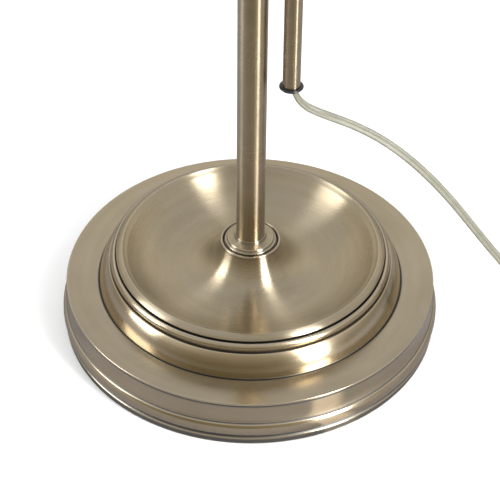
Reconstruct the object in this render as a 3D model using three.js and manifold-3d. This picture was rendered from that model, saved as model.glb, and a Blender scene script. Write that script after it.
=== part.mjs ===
// Pharmacy floor lamp. A round weighted base carries a fixed pole with a clamp at its top. A slim
// tube slides and turns in the clamp, and carries an elbow, an arm and a tilting dome shade. The
// flat supply cord leaves the lower end of the slim tube and runs to a coil and a plug on the floor.
// Millimetres, +Z up. The origin is on the floor, under the middle of the pole.

import * as THREE from 'three';
import { mergeVertices } from 'three/addons/utils/BufferGeometryUtils.js';
import Module from 'manifold-3d';

const wasm = await Module();
wasm.setup();

// Driving dimensions
const GAP = 0.3; // between two pieces that touch
const BASE_R = 129; // widest part of the base
const SHELL_WALL = 1.3;
const FLANGE_Z = 34.5; // top of the wide flat step
const STEP_R = BASE_R - 25.8; // where the flat step meets the cushion above it
const RIM_R = 91.3; // outer edge of the dish's rim
const SEAM_Z = 56.1; // the dish's rim rests on the cover here
const DISH_Z = 43.7; // lowest circle of the dish
const DISH_R = 50; // radius of that circle
const DISH_CURVE = 47.5; // the dish's side is an arc of this radius
const RIM_Z = 59.6; // highest part of the dish's rim
const NECK_Z = 64; // flat top of the cone in the dish
const POLE_R = 9.5;
const POLE_WALL = 1;
const POLE_TOP = 946;
const POLE_JOINT_Z = 518; // top of the lower half of the pole
const ARM_R = 5.7; // slim tube and arm
const ARM_WALL = 0.8;
const ARM_X = 24.7; // from the pole's axis to the slim tube's axis
const ARM_FOOT_Z = 193.5; // lower end of the slim tube
const ARM_Z = 1010; // axis of the horizontal arm
const ARM_REACH = 210; // from the slim tube's axis to the shade's axis
const CLAMP_Z = 902; // underside of the clamp
const CLAMP_H = 36;
const SHADE_R = 82;
const PIPE_R = 5; // threaded pipe that ties the base together, and the nipple in the head

// Clamp
const BUSHING_R = ARM_R + 1.5;
const SCREW_R = 3;
const PAD_FACE = ARM_R + GAP; // from the slim tube's axis to the pressure pad's face

// Sockets that the tubes fit into, and the swivel, whose halves face each other across a washer
const SOCKET_R = 8.2;
const SWIVEL_R = 10;
const SWIVEL_NEAR = 0.6;
const SWIVEL_FAR = 7.4;
const PIVOT_R = 2;

// Head, measured from the tilt axis
const CUP_R = 20;
const CUP_TOP = -30.3;
const CUP_BOTTOM = -70;
const SHADE_TOP = CUP_BOTTOM - GAP;
const SHADE_BOTTOM = -144;
const HOLDER_R = 17.4;
const HOLDER_TOP = -40;
const HOLDER_BOTTOM = -78;
const BULB_BASE_R = 13;
const BULB_R = 23;
const SWITCH_R = 2;
const SWITCH_Z = -52;

// Cord, coil and plug
const CORD_T = 2.8; // thickness of the flat cord
const LEAD_R = 2.1; // a round tube that stands for the cord inside the slim tube and the arm
const COIL_X = 240;
const COIL_Y = 37.8;
const COIL_R = 32; // middle of the turns
const COIL_BAND = 14.8; // width of the bundle of turns
const COIL_LOW = 1.4;
const COIL_HIGH = 13.4;
const PLUG_X = 278;
const PLUG_BACK = 81;
const PLUG_FRONT = 109;
const PLUG_H = 14;
const BLADE_T = 1.5;
const BLADE_ROOT = 5; // depth of a blade in the plug
const BLADE_LENGTH = 16;
const BLADE_X = 6.35; // each blade's distance from the plug's middle
const BLADES = [['plug_blade_narrow', -BLADE_X, 6.3], ['plug_blade_wide', BLADE_X, 7.9]];

// Number of sides on round pieces, and points on each curved stretch of an outline
const SIDES_LARGE = 32;
const SIDES_MEDIUM = 20;
const SIDES_SMALL = 12;
const SIDES_CORD = 8;
const CURVE_STEPS = 3;

// Materials
const finish = (color, roughness, metalness) =>
  new THREE.MeshStandardMaterial({ color, roughness, metalness });
const antiqueBrass = finish(0xa3957a, 0.35, 1);
const brightBrass = finish(0xc9ae6d, 0.3, 1);
const zincSteel = finish(0xa8abad, 0.4, 1);
const castIron = finish(0x3b3b3d, 0.8, 0.6);
const blackRubber = finish(0x15171a, 0.35, 0);
const blackPhenolic = finish(0x1d1a19, 0.45, 0);
const nylon = finish(0xe6e3da, 0.5, 0);
const felt = finish(0x2e3330, 0.95, 0);
const fibre = finish(0x6b4a36, 0.8, 0);
const cordVinyl = finish(0xb7ad92, 0.3, 0);
const opalGlass = finish(0xf4f1e8, 0.25, 0);

// Solid helpers

function revolve(outline, sides) {
  // Turns an outline of radius and height about Z. It runs anticlockwise, with radius to the right.
  const points = Array.isArray(outline)
    ? outline.map(([radius, height]) => new THREE.Vector2(radius, height))
    : outline.getPoints(CURVE_STEPS);
  if (points[0].x > 0) points.push(points[0].clone());
  return new THREE.LatheGeometry(points, sides).rotateX(Math.PI / 2);
}

function ring(outer, inner, low, high, sides) {
  return revolve([[inner, low], [outer, low], [outer, high], [inner, high]], sides);
}

function rod(radius, low, high, sides) {
  return revolve([[0, low], [radius, low], [radius, high], [0, high]], sides);
}

function prism(shape, low, high, sides) {
  // An arc is cut into twice as many pieces as curveSegments says
  const options = { depth: high - low, bevelEnabled: false, curveSegments: sides / 2 };
  return new THREE.ExtrudeGeometry(shape, options).translate(0, 0, low);
}

function block(x0, x1, y0, y1, z0, z1) {
  return new THREE.BoxGeometry(x1 - x0, y1 - y0, z1 - z0)
    .translate((x0 + x1) / 2, (y0 + y1) / 2, (z0 + z1) / 2);
}

function alongX(geometry) {
  return geometry.rotateY(Math.PI / 2);
}

function alongY(geometry) {
  return geometry.rotateX(-Math.PI / 2);
}

function toSolid(geometry) {
  const bare = geometry.clone();
  bare.deleteAttribute('normal');
  bare.deleteAttribute('uv');
  const merged = mergeVertices(bare);
  return new wasm.Manifold(new wasm.Mesh({
    numProp: 3,
    vertProperties: merged.attributes.position.array,
    triVerts: Uint32Array.from(merged.index.array),
  }));
}

function toGeometry(solid) {
  const mesh = solid.getMesh();
  const geometry = new THREE.BufferGeometry();
  geometry.setAttribute('position', new THREE.BufferAttribute(mesh.vertProperties, 3));
  geometry.setIndex(new THREE.BufferAttribute(mesh.triVerts, 1));
  geometry.computeVertexNormals();
  return geometry;
}

function join(...geometries) {
  return toGeometry(geometries.map(toSolid).reduce((whole, solid) => whole.add(solid)));
}

function cut(geometry, ...tools) {
  return toGeometry(tools.map(toSolid).reduce((rest, tool) => rest.subtract(tool), toSolid(geometry)));
}

function piece(name, geometry, material) {
  const mesh = new THREE.Mesh(geometry, material);
  mesh.name = name;
  return mesh;
}

function group(x, y, z, ...children) {
  const whole = new THREE.Group();
  whole.position.set(x, y, z);
  whole.add(...children);
  return whole;
}

function hexNut(acrossFlats, bore, low, high) {
  const corner = acrossFlats / Math.sqrt(3);
  const shape = new THREE.Shape();
  shape.moveTo(corner, 0);
  for (let side = 1; side < 6; side += 1) {
    const angle = (side * Math.PI) / 3;
    shape.lineTo(corner * Math.cos(angle), corner * Math.sin(angle));
  }
  shape.holes.push(new THREE.Path().absarc(0, 0, bore, 0, 2 * Math.PI, true));
  return prism(shape, low, high, SIDES_SMALL);
}

// Base

function baseShell() {
  // The outer cover: foot, lower roll, cove, flange, cushion and bead, with a lip for the dish
  const footR = BASE_R - 3;
  const lipR = RIM_R - 3.2;
  const outline = new THREE.Path();
  outline.moveTo(footR, 1);
  outline.lineTo(BASE_R - 1.4, 7.6);
  outline.lineTo(BASE_R - 0.5, 8.6);
  outline.quadraticCurveTo(BASE_R + 0.4, 14.5, BASE_R - 1.4, 17.2);
  outline.lineTo(BASE_R - 2.2, 17.9);
  outline.quadraticCurveTo(BASE_R - 4.2, 23, BASE_R - 3.9, FLANGE_Z - 1.7);
  outline.lineTo(BASE_R - 3, FLANGE_Z - 1.2);
  outline.lineTo(BASE_R - 3.6, FLANGE_Z);
  outline.lineTo(STEP_R + 1.2, FLANGE_Z);
  outline.lineTo(STEP_R, FLANGE_Z + 1.2);
  outline.quadraticCurveTo(STEP_R - 3.6, 46.8, RIM_R + 3.9, 50.2);
  outline.lineTo(RIM_R + 3.2, 50.9);
  outline.quadraticCurveTo(RIM_R + 4.6, 55, RIM_R + 0.5, SEAM_Z);
  outline.lineTo(lipR, SEAM_Z);
  // The underside, back to the foot
  outline.lineTo(lipR, SEAM_Z - SHELL_WALL);
  outline.lineTo(RIM_R - 0.4, SEAM_Z - SHELL_WALL);
  outline.lineTo(RIM_R + 1.8, 49.4);
  outline.quadraticCurveTo(STEP_R - 5, 46, STEP_R - SHELL_WALL, FLANGE_Z - SHELL_WALL);
  outline.lineTo(BASE_R - 5.4, FLANGE_Z - SHELL_WALL);
  outline.lineTo(BASE_R - 5.4, 1);
  return revolve(outline, SIDES_LARGE);
}

function baseDish() {
  // The dish's rim rests on the cover. The dish rises to a cone, with a bead round its flat top.
  const hole = PIPE_R + 0.4;
  const curveZ = DISH_Z + DISH_CURVE;
  const rimSide = THREE.MathUtils.degToRad(-46); // where the dish's curve meets the rim
  const underSide = THREE.MathUtils.degToRad(-49);
  const outline = new THREE.Path();
  outline.moveTo(RIM_R, SEAM_Z + GAP);
  outline.lineTo(RIM_R, SEAM_Z + 0.8);
  outline.quadraticCurveTo(RIM_R - 2, RIM_Z, RIM_R - 6, RIM_Z);
  outline.lineTo(RIM_R - 7.2, RIM_Z - 0.8);
  outline.absarc(DISH_R, curveZ, DISH_CURVE, rimSide, -Math.PI / 2, true);
  outline.bezierCurveTo(34, DISH_Z, 24.5, 49, 20.2, NECK_Z - 1.2);
  outline.lineTo(19.9, NECK_Z + 1);
  outline.lineTo(19.2, NECK_Z + 1.7);
  outline.lineTo(18.4, NECK_Z);
  outline.lineTo(hole, NECK_Z);
  // The underside, back to the rim
  outline.lineTo(hole, NECK_Z - SHELL_WALL);
  outline.lineTo(17.6, NECK_Z - SHELL_WALL);
  outline.bezierCurveTo(23, 49, 33, DISH_Z - SHELL_WALL, DISH_R, DISH_Z - SHELL_WALL);
  outline.absarc(DISH_R, curveZ, DISH_CURVE + SHELL_WALL, -Math.PI / 2, underSide, false);
  outline.lineTo(RIM_R - 6, SEAM_Z + GAP);
  return revolve(outline, SIDES_LARGE);
}

function baseWeight() {
  // A flat disc with a hub, hollowed below for the nut and its washers
  const bore = PIPE_R + 0.5;
  const hubR = 12;
  const hubTop = NECK_Z - 1.8;
  const nutRoomR = 17;
  const nutRoomTop = 14;
  const discR = 112;
  const discLow = 3.8;
  const discTop = 12;
  return revolve([
    [bore, nutRoomTop],
    [nutRoomR, nutRoomTop],
    [nutRoomR, discLow],
    [discR, discLow],
    [discR, discTop],
    [36, discTop + 2],
    [hubR, 22],
    [hubR, hubTop],
    [bore, hubTop],
  ], SIDES_MEDIUM);
}

function neckRing() {
  const seatZ = NECK_Z + 3; // the pole stands in a shallow seat
  const outline = new THREE.Path();
  outline.moveTo(PIPE_R + 0.4, NECK_Z + GAP);
  outline.lineTo(17, NECK_Z + GAP);
  outline.quadraticCurveTo(18, NECK_Z + 3.6, 16.2, NECK_Z + 4);
  outline.lineTo(15.2, NECK_Z + 4.2);
  outline.quadraticCurveTo(11, NECK_Z + 4.6, 10.6, NECK_Z + 6.4);
  outline.lineTo(POLE_R + GAP, NECK_Z + 6.4);
  outline.lineTo(POLE_R + GAP, seatZ);
  outline.lineTo(PIPE_R + 0.4, seatZ);
  return revolve(outline, SIDES_MEDIUM);
}

function base() {
  const feltTop = 2;
  const plateTop = 3.5;
  const nutTop = 9.9;
  const springTop = 11.8;
  const washerTop = 13.6;
  const pipeTop = 80;
  return group(
    0, 0, 0,
    piece('base_shell', baseShell(), antiqueBrass),
    piece('base_dish', baseDish(), antiqueBrass),
    piece('base_weight', baseWeight(), castIron),
    piece('bottom_plate', rod(121, feltTop + GAP, plateTop, SIDES_LARGE), zincSteel),
    piece('felt_pad', rod(122.5, 0, feltTop, SIDES_LARGE), felt),
    piece('neck_ring', neckRing(), antiqueBrass),
    piece('threaded_pipe', ring(PIPE_R, 3.8, plateTop + 0.7, pipeTop, SIDES_SMALL), zincSteel),
    piece('base_nut', hexNut(15, PIPE_R + GAP, plateTop + 0.6, nutTop), zincSteel),
    piece('lock_washer', ring(8.5, PIPE_R + GAP, nutTop + GAP, springTop, SIDES_SMALL), zincSteel),
    piece('fender_washer', ring(16, PIPE_R + GAP, springTop + GAP, washerTop, SIDES_SMALL), zincSteel),
  );
}

// Pole, in two lengths screwed together

function jointRing(low, high) {
  const outline = new THREE.Path();
  outline.moveTo(POLE_R - POLE_WALL, low);
  outline.lineTo(POLE_R, low);
  outline.quadraticCurveTo(POLE_R + 1.6, (low + high) / 2, POLE_R, high);
  outline.lineTo(POLE_R - POLE_WALL, high);
  return revolve(outline, SIDES_MEDIUM);
}

function poleCap() {
  const plugR = POLE_R - POLE_WALL - GAP;
  const capR = POLE_R + 1.2;
  const seat = POLE_TOP + GAP;
  const outline = new THREE.Path();
  outline.moveTo(0, POLE_TOP - 12);
  outline.lineTo(plugR, POLE_TOP - 12);
  outline.lineTo(plugR, seat);
  outline.lineTo(capR, seat);
  outline.lineTo(capR, seat + 2.4);
  outline.bezierCurveTo(capR, seat + 8, 6, seat + 11.5, 0, seat + 11.5);
  return revolve(outline, SIDES_MEDIUM);
}

function pole() {
  const bore = POLE_R - POLE_WALL;
  const foot = NECK_Z + 3 + GAP;
  const ringLow = POLE_JOINT_Z + GAP;
  const ringHigh = ringLow + 3;
  const stud = 18; // length of the coupler in each half
  return group(
    0, 0, 0,
    piece('pole_lower', ring(POLE_R, bore, foot, POLE_JOINT_Z, SIDES_MEDIUM), antiqueBrass),
    piece('pole_foot_insert', ring(bore - GAP, PIPE_R + GAP, foot, 84, SIDES_SMALL), zincSteel),
    piece('pole_joint_ring', jointRing(ringLow, ringHigh), antiqueBrass),
    piece('pole_coupler',
      rod(bore - GAP, POLE_JOINT_Z - stud, ringHigh + stud, SIDES_SMALL), zincSteel),
    piece('pole_upper', ring(POLE_R, bore, ringHigh + GAP, POLE_TOP, SIDES_MEDIUM), antiqueBrass),
    piece('pole_cap', poleCap(), antiqueBrass),
  );
}

// Clamp. Its own origin is on the slim tube's axis, halfway up the clamp.

function clampBlock() {
  const poleBossR = 13.5;
  const armBossR = 10.8;
  const screwBossR = 6.5;
  const screwBossEnd = -17;
  const grubHoleR = 2.4;
  const tangent = Math.acos((poleBossR - armBossR) / ARM_X);
  const shape = new THREE.Shape();
  shape.absarc(-ARM_X, 0, poleBossR, tangent, 2 * Math.PI - tangent, false);
  shape.absarc(0, 0, armBossR, -tangent, tangent, false);
  const body = prism(shape, -CLAMP_H / 2, CLAMP_H / 2, SIDES_MEDIUM);
  const screwBoss = alongY(rod(screwBossR, screwBossEnd, -BUSHING_R, SIDES_SMALL));
  const reach = CLAMP_H;
  const poleBore = rod(POLE_R + GAP, -reach, reach, SIDES_MEDIUM).translate(-ARM_X, 0, 0);
  const armBore = rod(BUSHING_R + GAP, -reach, reach, SIDES_MEDIUM);
  const screwHole = alongY(rod(SCREW_R + GAP, screwBossEnd - 1, -ARM_R, SIDES_SMALL));
  const grubHole = alongX(rod(grubHoleR, -ARM_X - poleBossR - 1, -ARM_X - POLE_R, SIDES_SMALL));
  return cut(join(body, screwBoss), poleBore, armBore, screwHole, grubHole);
}

function clampBushing() {
  const half = CLAMP_H / 2 - 0.5;
  const sleeve = ring(BUSHING_R, ARM_R + GAP, -half, half, SIDES_MEDIUM);
  return cut(sleeve, alongY(rod(SCREW_R + GAP, -2 * BUSHING_R, -ARM_R / 2, SIDES_SMALL)));
}

function clampKnob() {
  // A round knob with scallops round its rim, and a blind hole for the screw
  const knobR = 10;
  const near = -34;
  const far = -22;
  const scallops = 10;
  const depth = 1.1;
  const shape = new THREE.Shape();
  const points = 4 * scallops;
  for (let index = 0; index < points; index += 1) {
    const angle = (index * 2 * Math.PI) / points;
    const radius = knobR - depth * (0.5 - 0.5 * Math.cos(scallops * angle));
    const move = index === 0 ? 'moveTo' : 'lineTo';
    shape[move](radius * Math.cos(angle), radius * Math.sin(angle));
  }
  const body = alongY(prism(shape, near, far, SIDES_SMALL));
  return cut(body, alongY(rod(SCREW_R + GAP, far - 6, far + 1, SIDES_SMALL)));
}

function clamp() {
  const padBack = -PAD_FACE - 3;
  const grubLow = -ARM_X - 13.4;
  return group(
    ARM_X, 0, CLAMP_Z + CLAMP_H / 2,
    piece('clamp_block', clampBlock(), antiqueBrass),
    piece('clamp_bushing', clampBushing(), nylon),
    piece('pressure_pad', alongY(rod(SCREW_R, padBack, -PAD_FACE, SIDES_SMALL)), nylon),
    piece('clamp_screw', alongY(rod(SCREW_R, -27.5, padBack - GAP, SIDES_SMALL)), zincSteel),
    piece('clamp_knob', clampKnob(), antiqueBrass),
    piece('clamp_grub_screw',
      alongX(rod(2, grubLow, -ARM_X - POLE_R - GAP, SIDES_SMALL)), zincSteel),
  );
}

// Slim tube, elbow and arm. The group's origin is on the slim tube's axis at the floor.

function cordGrommet() {
  const low = ARM_FOOT_Z - GAP - 2;
  const high = ARM_FOOT_Z - GAP;
  const hole = 3.6;
  const outline = new THREE.Path();
  outline.moveTo(hole, low);
  outline.lineTo(7.2, low);
  outline.quadraticCurveTo(8.9, (low + high) / 2, 7.2, high);
  outline.lineTo(ARM_R - ARM_WALL - GAP, high);
  outline.lineTo(ARM_R - ARM_WALL - GAP, high + 6);
  outline.lineTo(hole, high + 6);
  return revolve(outline, SIDES_MEDIUM);
}

function armElbow() {
  const reach = 22;
  const shoulder = 9.7; // the tubes end this far from the corner
  const corner = new THREE.SphereGeometry(10.5, SIDES_SMALL, 8).translate(0, 0, ARM_Z);
  const down = rod(SOCKET_R, ARM_Z - reach, ARM_Z, SIDES_MEDIUM);
  const out = alongX(rod(SOCKET_R, 0, reach, SIDES_MEDIUM)).translate(0, 0, ARM_Z);
  const bore = ARM_R + GAP;
  const downBore = rod(bore, ARM_Z - reach - 1, ARM_Z - shoulder, SIDES_MEDIUM);
  const outBore = alongX(rod(bore, shoulder, reach + 1, SIDES_MEDIUM)).translate(0, 0, ARM_Z);
  const wayR = 4.2;
  const wayDown = rod(wayR, ARM_Z - reach, ARM_Z + wayR, SIDES_SMALL);
  const wayOut = alongX(rod(wayR, 0, reach, SIDES_SMALL)).translate(0, 0, ARM_Z);
  return cut(join(corner, down, out), downBore, outBore, wayDown, wayOut);
}

function cordInBar(low, far) {
  const bend = 7.5;
  const route = new THREE.CurvePath();
  route.add(new THREE.LineCurve3(new THREE.Vector3(0, 0, low), new THREE.Vector3(0, 0, ARM_Z - bend)));
  route.add(new THREE.QuadraticBezierCurve3(
    new THREE.Vector3(0, 0, ARM_Z - bend),
    new THREE.Vector3(0, 0, ARM_Z),
    new THREE.Vector3(bend, 0, ARM_Z),
  ));
  route.add(new THREE.LineCurve3(new THREE.Vector3(bend, 0, ARM_Z), new THREE.Vector3(far, 0, ARM_Z)));
  return cordTube(route, LEAD_R, 20);
}

function swivelArmHalf() {
  const socketEnd = ARM_REACH - 23;
  const socketStart = ARM_REACH - 39;
  const socket = alongX(rod(SOCKET_R, socketStart, socketEnd, SIDES_MEDIUM));
  const web = block(socketEnd - 3, ARM_REACH, -SWIVEL_FAR, -SWIVEL_NEAR, -5.5, 5.5);
  const disc = alongY(rod(SWIVEL_R, -SWIVEL_FAR, -SWIVEL_NEAR, SIDES_MEDIUM)).translate(ARM_REACH, 0, 0);
  const bore = alongX(rod(ARM_R + GAP, socketStart - 1, socketEnd - 1.2, SIDES_MEDIUM));
  const hole = alongY(rod(PIVOT_R + GAP, -2 * SWIVEL_FAR, SWIVEL_FAR, SIDES_SMALL));
  return cut(join(socket, web, disc), bore, hole.translate(ARM_REACH, 0, 0)).translate(0, 0, ARM_Z);
}

function arm() {
  const bore = ARM_R - ARM_WALL;
  const tubeTop = ARM_Z - 10;
  const barEnd = ARM_REACH - 24.5;
  const collarLow = CLAMP_Z + CLAMP_H + GAP;
  const collarHigh = collarLow + 10;
  const collarR = 9.2;
  const middle = (collarLow + collarHigh) / 2;
  const setScrewR = 1.6;
  const setHole = alongX(rod(setScrewR + GAP, ARM_R, collarR + 1, SIDES_SMALL)).translate(0, 0, middle);
  const collar = cut(ring(collarR, ARM_R + GAP, collarLow, collarHigh, SIDES_MEDIUM), setHole);
  const setScrew = alongX(rod(setScrewR, ARM_R + GAP, collarR - 0.2, SIDES_SMALL));
  const cordTop = ARM_Z - 14;
  const cordFoot = ARM_FOOT_Z - 2;
  const bar = alongX(ring(ARM_R, bore, 10, barEnd, SIDES_MEDIUM));
  return group(
    ARM_X, 0, 0,
    piece('arm_upright', ring(ARM_R, bore, ARM_FOOT_Z, tubeTop, SIDES_MEDIUM), antiqueBrass),
    piece('cord_grommet', cordGrommet(), blackRubber),
    piece('stop_collar', collar, antiqueBrass),
    piece('collar_set_screw', setScrew.translate(0, 0, middle), zincSteel),
    piece('arm_elbow', armElbow(), antiqueBrass),
    piece('arm_bar', bar.translate(0, 0, ARM_Z), antiqueBrass),
    piece('swivel_arm_half', swivelArmHalf(), antiqueBrass),
    piece('cord_in_upright', rod(LEAD_R, cordFoot, cordTop, SIDES_CORD), cordVinyl),
    piece('cord_in_bar', cordInBar(cordTop + GAP, barEnd - 6), cordVinyl),
  );
}

// Head. Its own origin is on the tilt axis, above the middle of the shade.

function swivelHeadHalf() {
  const stemTop = -18;
  const stemBottom = CUP_TOP + GAP;
  const disc = alongY(rod(SWIVEL_R, SWIVEL_NEAR, SWIVEL_FAR, SIDES_MEDIUM));
  const web = block(-6, 6, SWIVEL_NEAR, SWIVEL_FAR, stemTop - 2, 0);
  const stem = rod(8, stemBottom, stemTop, SIDES_MEDIUM);
  const hole = alongY(rod(PIVOT_R + GAP, -SWIVEL_FAR, 2 * SWIVEL_FAR, SIDES_SMALL));
  const nippleBore = rod(PIPE_R + GAP, stemBottom - 1, stemTop - 3, SIDES_SMALL);
  return cut(join(disc, web, stem), hole, nippleBore);
}

function swivelScrew() {
  const headR = 4.4;
  const under = -SWIVEL_FAR - GAP;
  return alongY(revolve([
    [0, under - 2.4],
    [headR - 0.6, under - 2.4],
    [headR, under - 1.6],
    [headR, under],
    [PIVOT_R, under],
    [PIVOT_R, 12],
    [0, 12],
  ], SIDES_SMALL));
}

function socketCup() {
  const wall = 1;
  const outline = new THREE.Path();
  outline.moveTo(PIPE_R + GAP, CUP_TOP);
  outline.lineTo(PIPE_R + GAP, CUP_TOP - wall);
  outline.lineTo(11, CUP_TOP - wall);
  outline.quadraticCurveTo(CUP_R - wall, CUP_TOP - wall, CUP_R - wall, CUP_TOP - 12);
  outline.lineTo(CUP_R - wall, CUP_BOTTOM);
  outline.lineTo(CUP_R + 1.2, CUP_BOTTOM);
  outline.lineTo(CUP_R + 1.2, CUP_BOTTOM + 2);
  outline.lineTo(CUP_R, CUP_BOTTOM + 2.6);
  outline.lineTo(CUP_R, CUP_TOP - 12);
  outline.quadraticCurveTo(CUP_R, CUP_TOP, 11, CUP_TOP);
  const switchHole = alongX(rod(SWITCH_R + 1, HOLDER_R, CUP_R + 2, SIDES_SMALL));
  return cut(revolve(outline, SIDES_MEDIUM), switchHole.translate(0, 0, SWITCH_Z));
}

function shade() {
  const wall = 0.9;
  const hole = HOLDER_R + GAP;
  const crown = 23;
  const drop = SHADE_TOP - 1;
  const rim = SHADE_BOTTOM + 3;
  const outline = new THREE.Path();
  outline.moveTo(hole, SHADE_TOP);
  outline.lineTo(hole, SHADE_TOP - wall);
  outline.lineTo(crown, SHADE_TOP - wall - 0.2);
  outline.bezierCurveTo(56, drop - 3, SHADE_R - wall, rim + 34, SHADE_R - wall, rim);
  outline.lineTo(SHADE_R - wall, SHADE_BOTTOM);
  outline.lineTo(SHADE_R + 1, SHADE_BOTTOM);
  outline.lineTo(SHADE_R + 1, SHADE_BOTTOM + 2.4);
  outline.lineTo(SHADE_R, rim);
  outline.bezierCurveTo(SHADE_R, rim + 35, 57, drop - 2, crown, SHADE_TOP - 0.2);
  return revolve(outline, SIDES_LARGE);
}

function lampholderBody() {
  const bore = 14.8;
  return revolve([
    [3.4, HOLDER_TOP - 4],
    [bore, HOLDER_TOP - 4],
    [bore, HOLDER_BOTTOM],
    [HOLDER_R, HOLDER_BOTTOM],
    [HOLDER_R, HOLDER_TOP],
    [3.4, HOLDER_TOP],
  ], SIDES_MEDIUM);
}

function bulbBase() {
  const shoulder = HOLDER_TOP - 12;
  return revolve([
    [0, HOLDER_BOTTOM - 1],
    [BULB_BASE_R, HOLDER_BOTTOM - 1],
    [BULB_BASE_R, shoulder],
    [5, shoulder + 2.4],
    [4.4, shoulder + 3.5],
    [0, shoulder + 3.5],
  ], SIDES_MEDIUM);
}

function bulbGlass() {
  // A globe with a short neck, hollow and open at the neck
  const wall = 0.9;
  const mouth = HOLDER_BOTTOM - 1 - GAP;
  const centre = mouth - 27;
  const outline = new THREE.Path();
  outline.moveTo(0, centre - BULB_R);
  outline.bezierCurveTo(BULB_R * 0.56, centre - BULB_R, BULB_R, centre - BULB_R * 0.56, BULB_R, centre);
  outline.bezierCurveTo(BULB_R, centre + 16, BULB_BASE_R, centre + 18, BULB_BASE_R, mouth);
  outline.lineTo(BULB_BASE_R - wall, mouth);
  const inner = BULB_R - wall;
  outline.bezierCurveTo(BULB_BASE_R - wall, centre + 18, inner, centre + 16, inner, centre);
  outline.bezierCurveTo(inner, centre - inner * 0.56, inner * 0.56, centre - inner, 0, centre - inner);
  return revolve(outline, SIDES_MEDIUM);
}

function switchKnob() {
  // A flat paddle with a round hub, and a blind hole for the stem
  const start = CUP_R + 5;
  const hub = rod(4.6, start, start + 6, SIDES_SMALL);
  const paddle = block(-2, 2, -6.5, 6.5, start + 3, start + 13);
  const hole = rod(SWITCH_R + GAP, start - 1, start + 4, SIDES_SMALL);
  return alongX(cut(join(hub, paddle), hole)).translate(0, 0, SWITCH_Z);
}

function head() {
  const nutLow = CUP_TOP - 1 - GAP - 4;
  const stem = alongX(rod(SWITCH_R, HOLDER_R + GAP, CUP_R + 8.6, SIDES_SMALL));
  const washerFace = SWIVEL_FAR + GAP;
  const contactTop = HOLDER_TOP - 4 - GAP;
  const shadeRingTop = SHADE_TOP - 1.2 - GAP;
  return group(
    ARM_X + ARM_REACH, 0, ARM_Z,
    piece('swivel_head_half', swivelHeadHalf(), antiqueBrass),
    piece('friction_washer', alongY(ring(9, PIVOT_R + GAP, -0.3, 0.3, SIDES_SMALL)), fibre),
    piece('swivel_screw', swivelScrew(), antiqueBrass),
    piece('spring_washer',
      alongY(ring(4.6, PIVOT_R + GAP, washerFace, washerFace + 0.9, SIDES_SMALL)), zincSteel),
    piece('swivel_nut', alongY(hexNut(8, PIVOT_R + GAP, washerFace + 1.2, 12)), antiqueBrass),
    piece('neck_nipple', ring(PIPE_R, 3.6, CUP_TOP - 8, CUP_TOP + 8.5, SIDES_SMALL), zincSteel),
    piece('nipple_nut', hexNut(13, PIPE_R + GAP, nutLow, nutLow + 4), zincSteel),
    piece('socket_cup', socketCup(), antiqueBrass),
    piece('lampholder_body', lampholderBody(), blackPhenolic),
    piece('screw_shell',
      ring(14.5, 13.6, HOLDER_BOTTOM + 3, contactTop - 3, SIDES_MEDIUM), brightBrass),
    piece('centre_contact', ring(6, 3.4, contactTop - 0.8, contactTop, SIDES_SMALL), brightBrass),
    piece('lampholder_lead', rod(LEAD_R, HOLDER_TOP - 2, CUP_TOP + 6, SIDES_CORD), cordVinyl),
    piece('shade', shade(), antiqueBrass),
    piece('shade_ring',
      ring(23, HOLDER_R + GAP, shadeRingTop - 5, shadeRingTop, SIDES_MEDIUM), blackPhenolic),
    piece('bulb_base', bulbBase(), zincSteel),
    piece('bulb_glass', bulbGlass(), opalGlass),
    piece('switch_stem', stem.translate(0, 0, SWITCH_Z), zincSteel),
    piece('switch_knob', switchKnob(), blackPhenolic),
  );
}

// Free cord, coil, tie and plug

function cordTube(route, radius, steps) {
  const section = new THREE.Shape();
  section.absarc(0, 0, radius, 0, 2 * Math.PI, false);
  const options = { steps, extrudePath: route, curveSegments: SIDES_CORD / 2 };
  return new THREE.ExtrudeGeometry(section, options);
}

const CORD_ROUTE = [
  [25.6, 0, 191],
  [27.4, 0, 186.4],
  [30.8, 0, 180.4],
  [36.4, 0, 175.4],
  [44, 0, 171.4],
  [53, 0, 167.4],
  [66, 0, 161.4],
  [82, 0, 151.8],
  [99, 0, 138],
  [116, 0, 120.6],
  [133, 0, 99.8],
  [149, 0, 77.6],
  [165, 0, 55.4],
  [181, 0, 35],
  [197, 0, 18.6],
  [210, 0, 9],
  [224, 0, 4.4],
];
const TAIL_ROUTE = [
  [277.8, 54.2, 9.6],
  [278, 62, 8.4],
  [278, 71, 7.4],
  [278, 80.4, 7],
];
function cordStretch(points, steps) {
  const route = new THREE.CatmullRomCurve3(points.map((point) => new THREE.Vector3(...point)));
  return cordTube(route, CORD_T / 2, steps);
}

function cordCoil() {
  const inner = COIL_R - COIL_BAND / 2;
  const outer = COIL_R + COIL_BAND / 2;
  const bevel = 2;
  return revolve([
    [inner + bevel, COIL_LOW],
    [outer - bevel, COIL_LOW],
    [outer, COIL_LOW + bevel],
    [outer, COIL_HIGH - bevel],
    [outer - bevel, COIL_HIGH],
    [inner + bevel, COIL_HIGH],
    [inner, COIL_HIGH - bevel],
    [inner, COIL_LOW + bevel],
  ], SIDES_MEDIUM);
}

function cordTie() {
  // A strap round the bundle of turns, on the side of the coil away from the lamp's front
  const strap = 0.9;
  const halfBand = COIL_BAND / 2 + 0.9; // the turns curve away under the strap
  const low = COIL_LOW - GAP;
  const high = COIL_HIGH + GAP;
  const outside = block(-4, 4, -halfBand - strap, halfBand + strap, low - strap, high + strap);
  const inside = block(-5, 5, -halfBand, halfBand, low, high);
  return cut(outside, inside).translate(0, COIL_R, 0);
}

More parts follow.
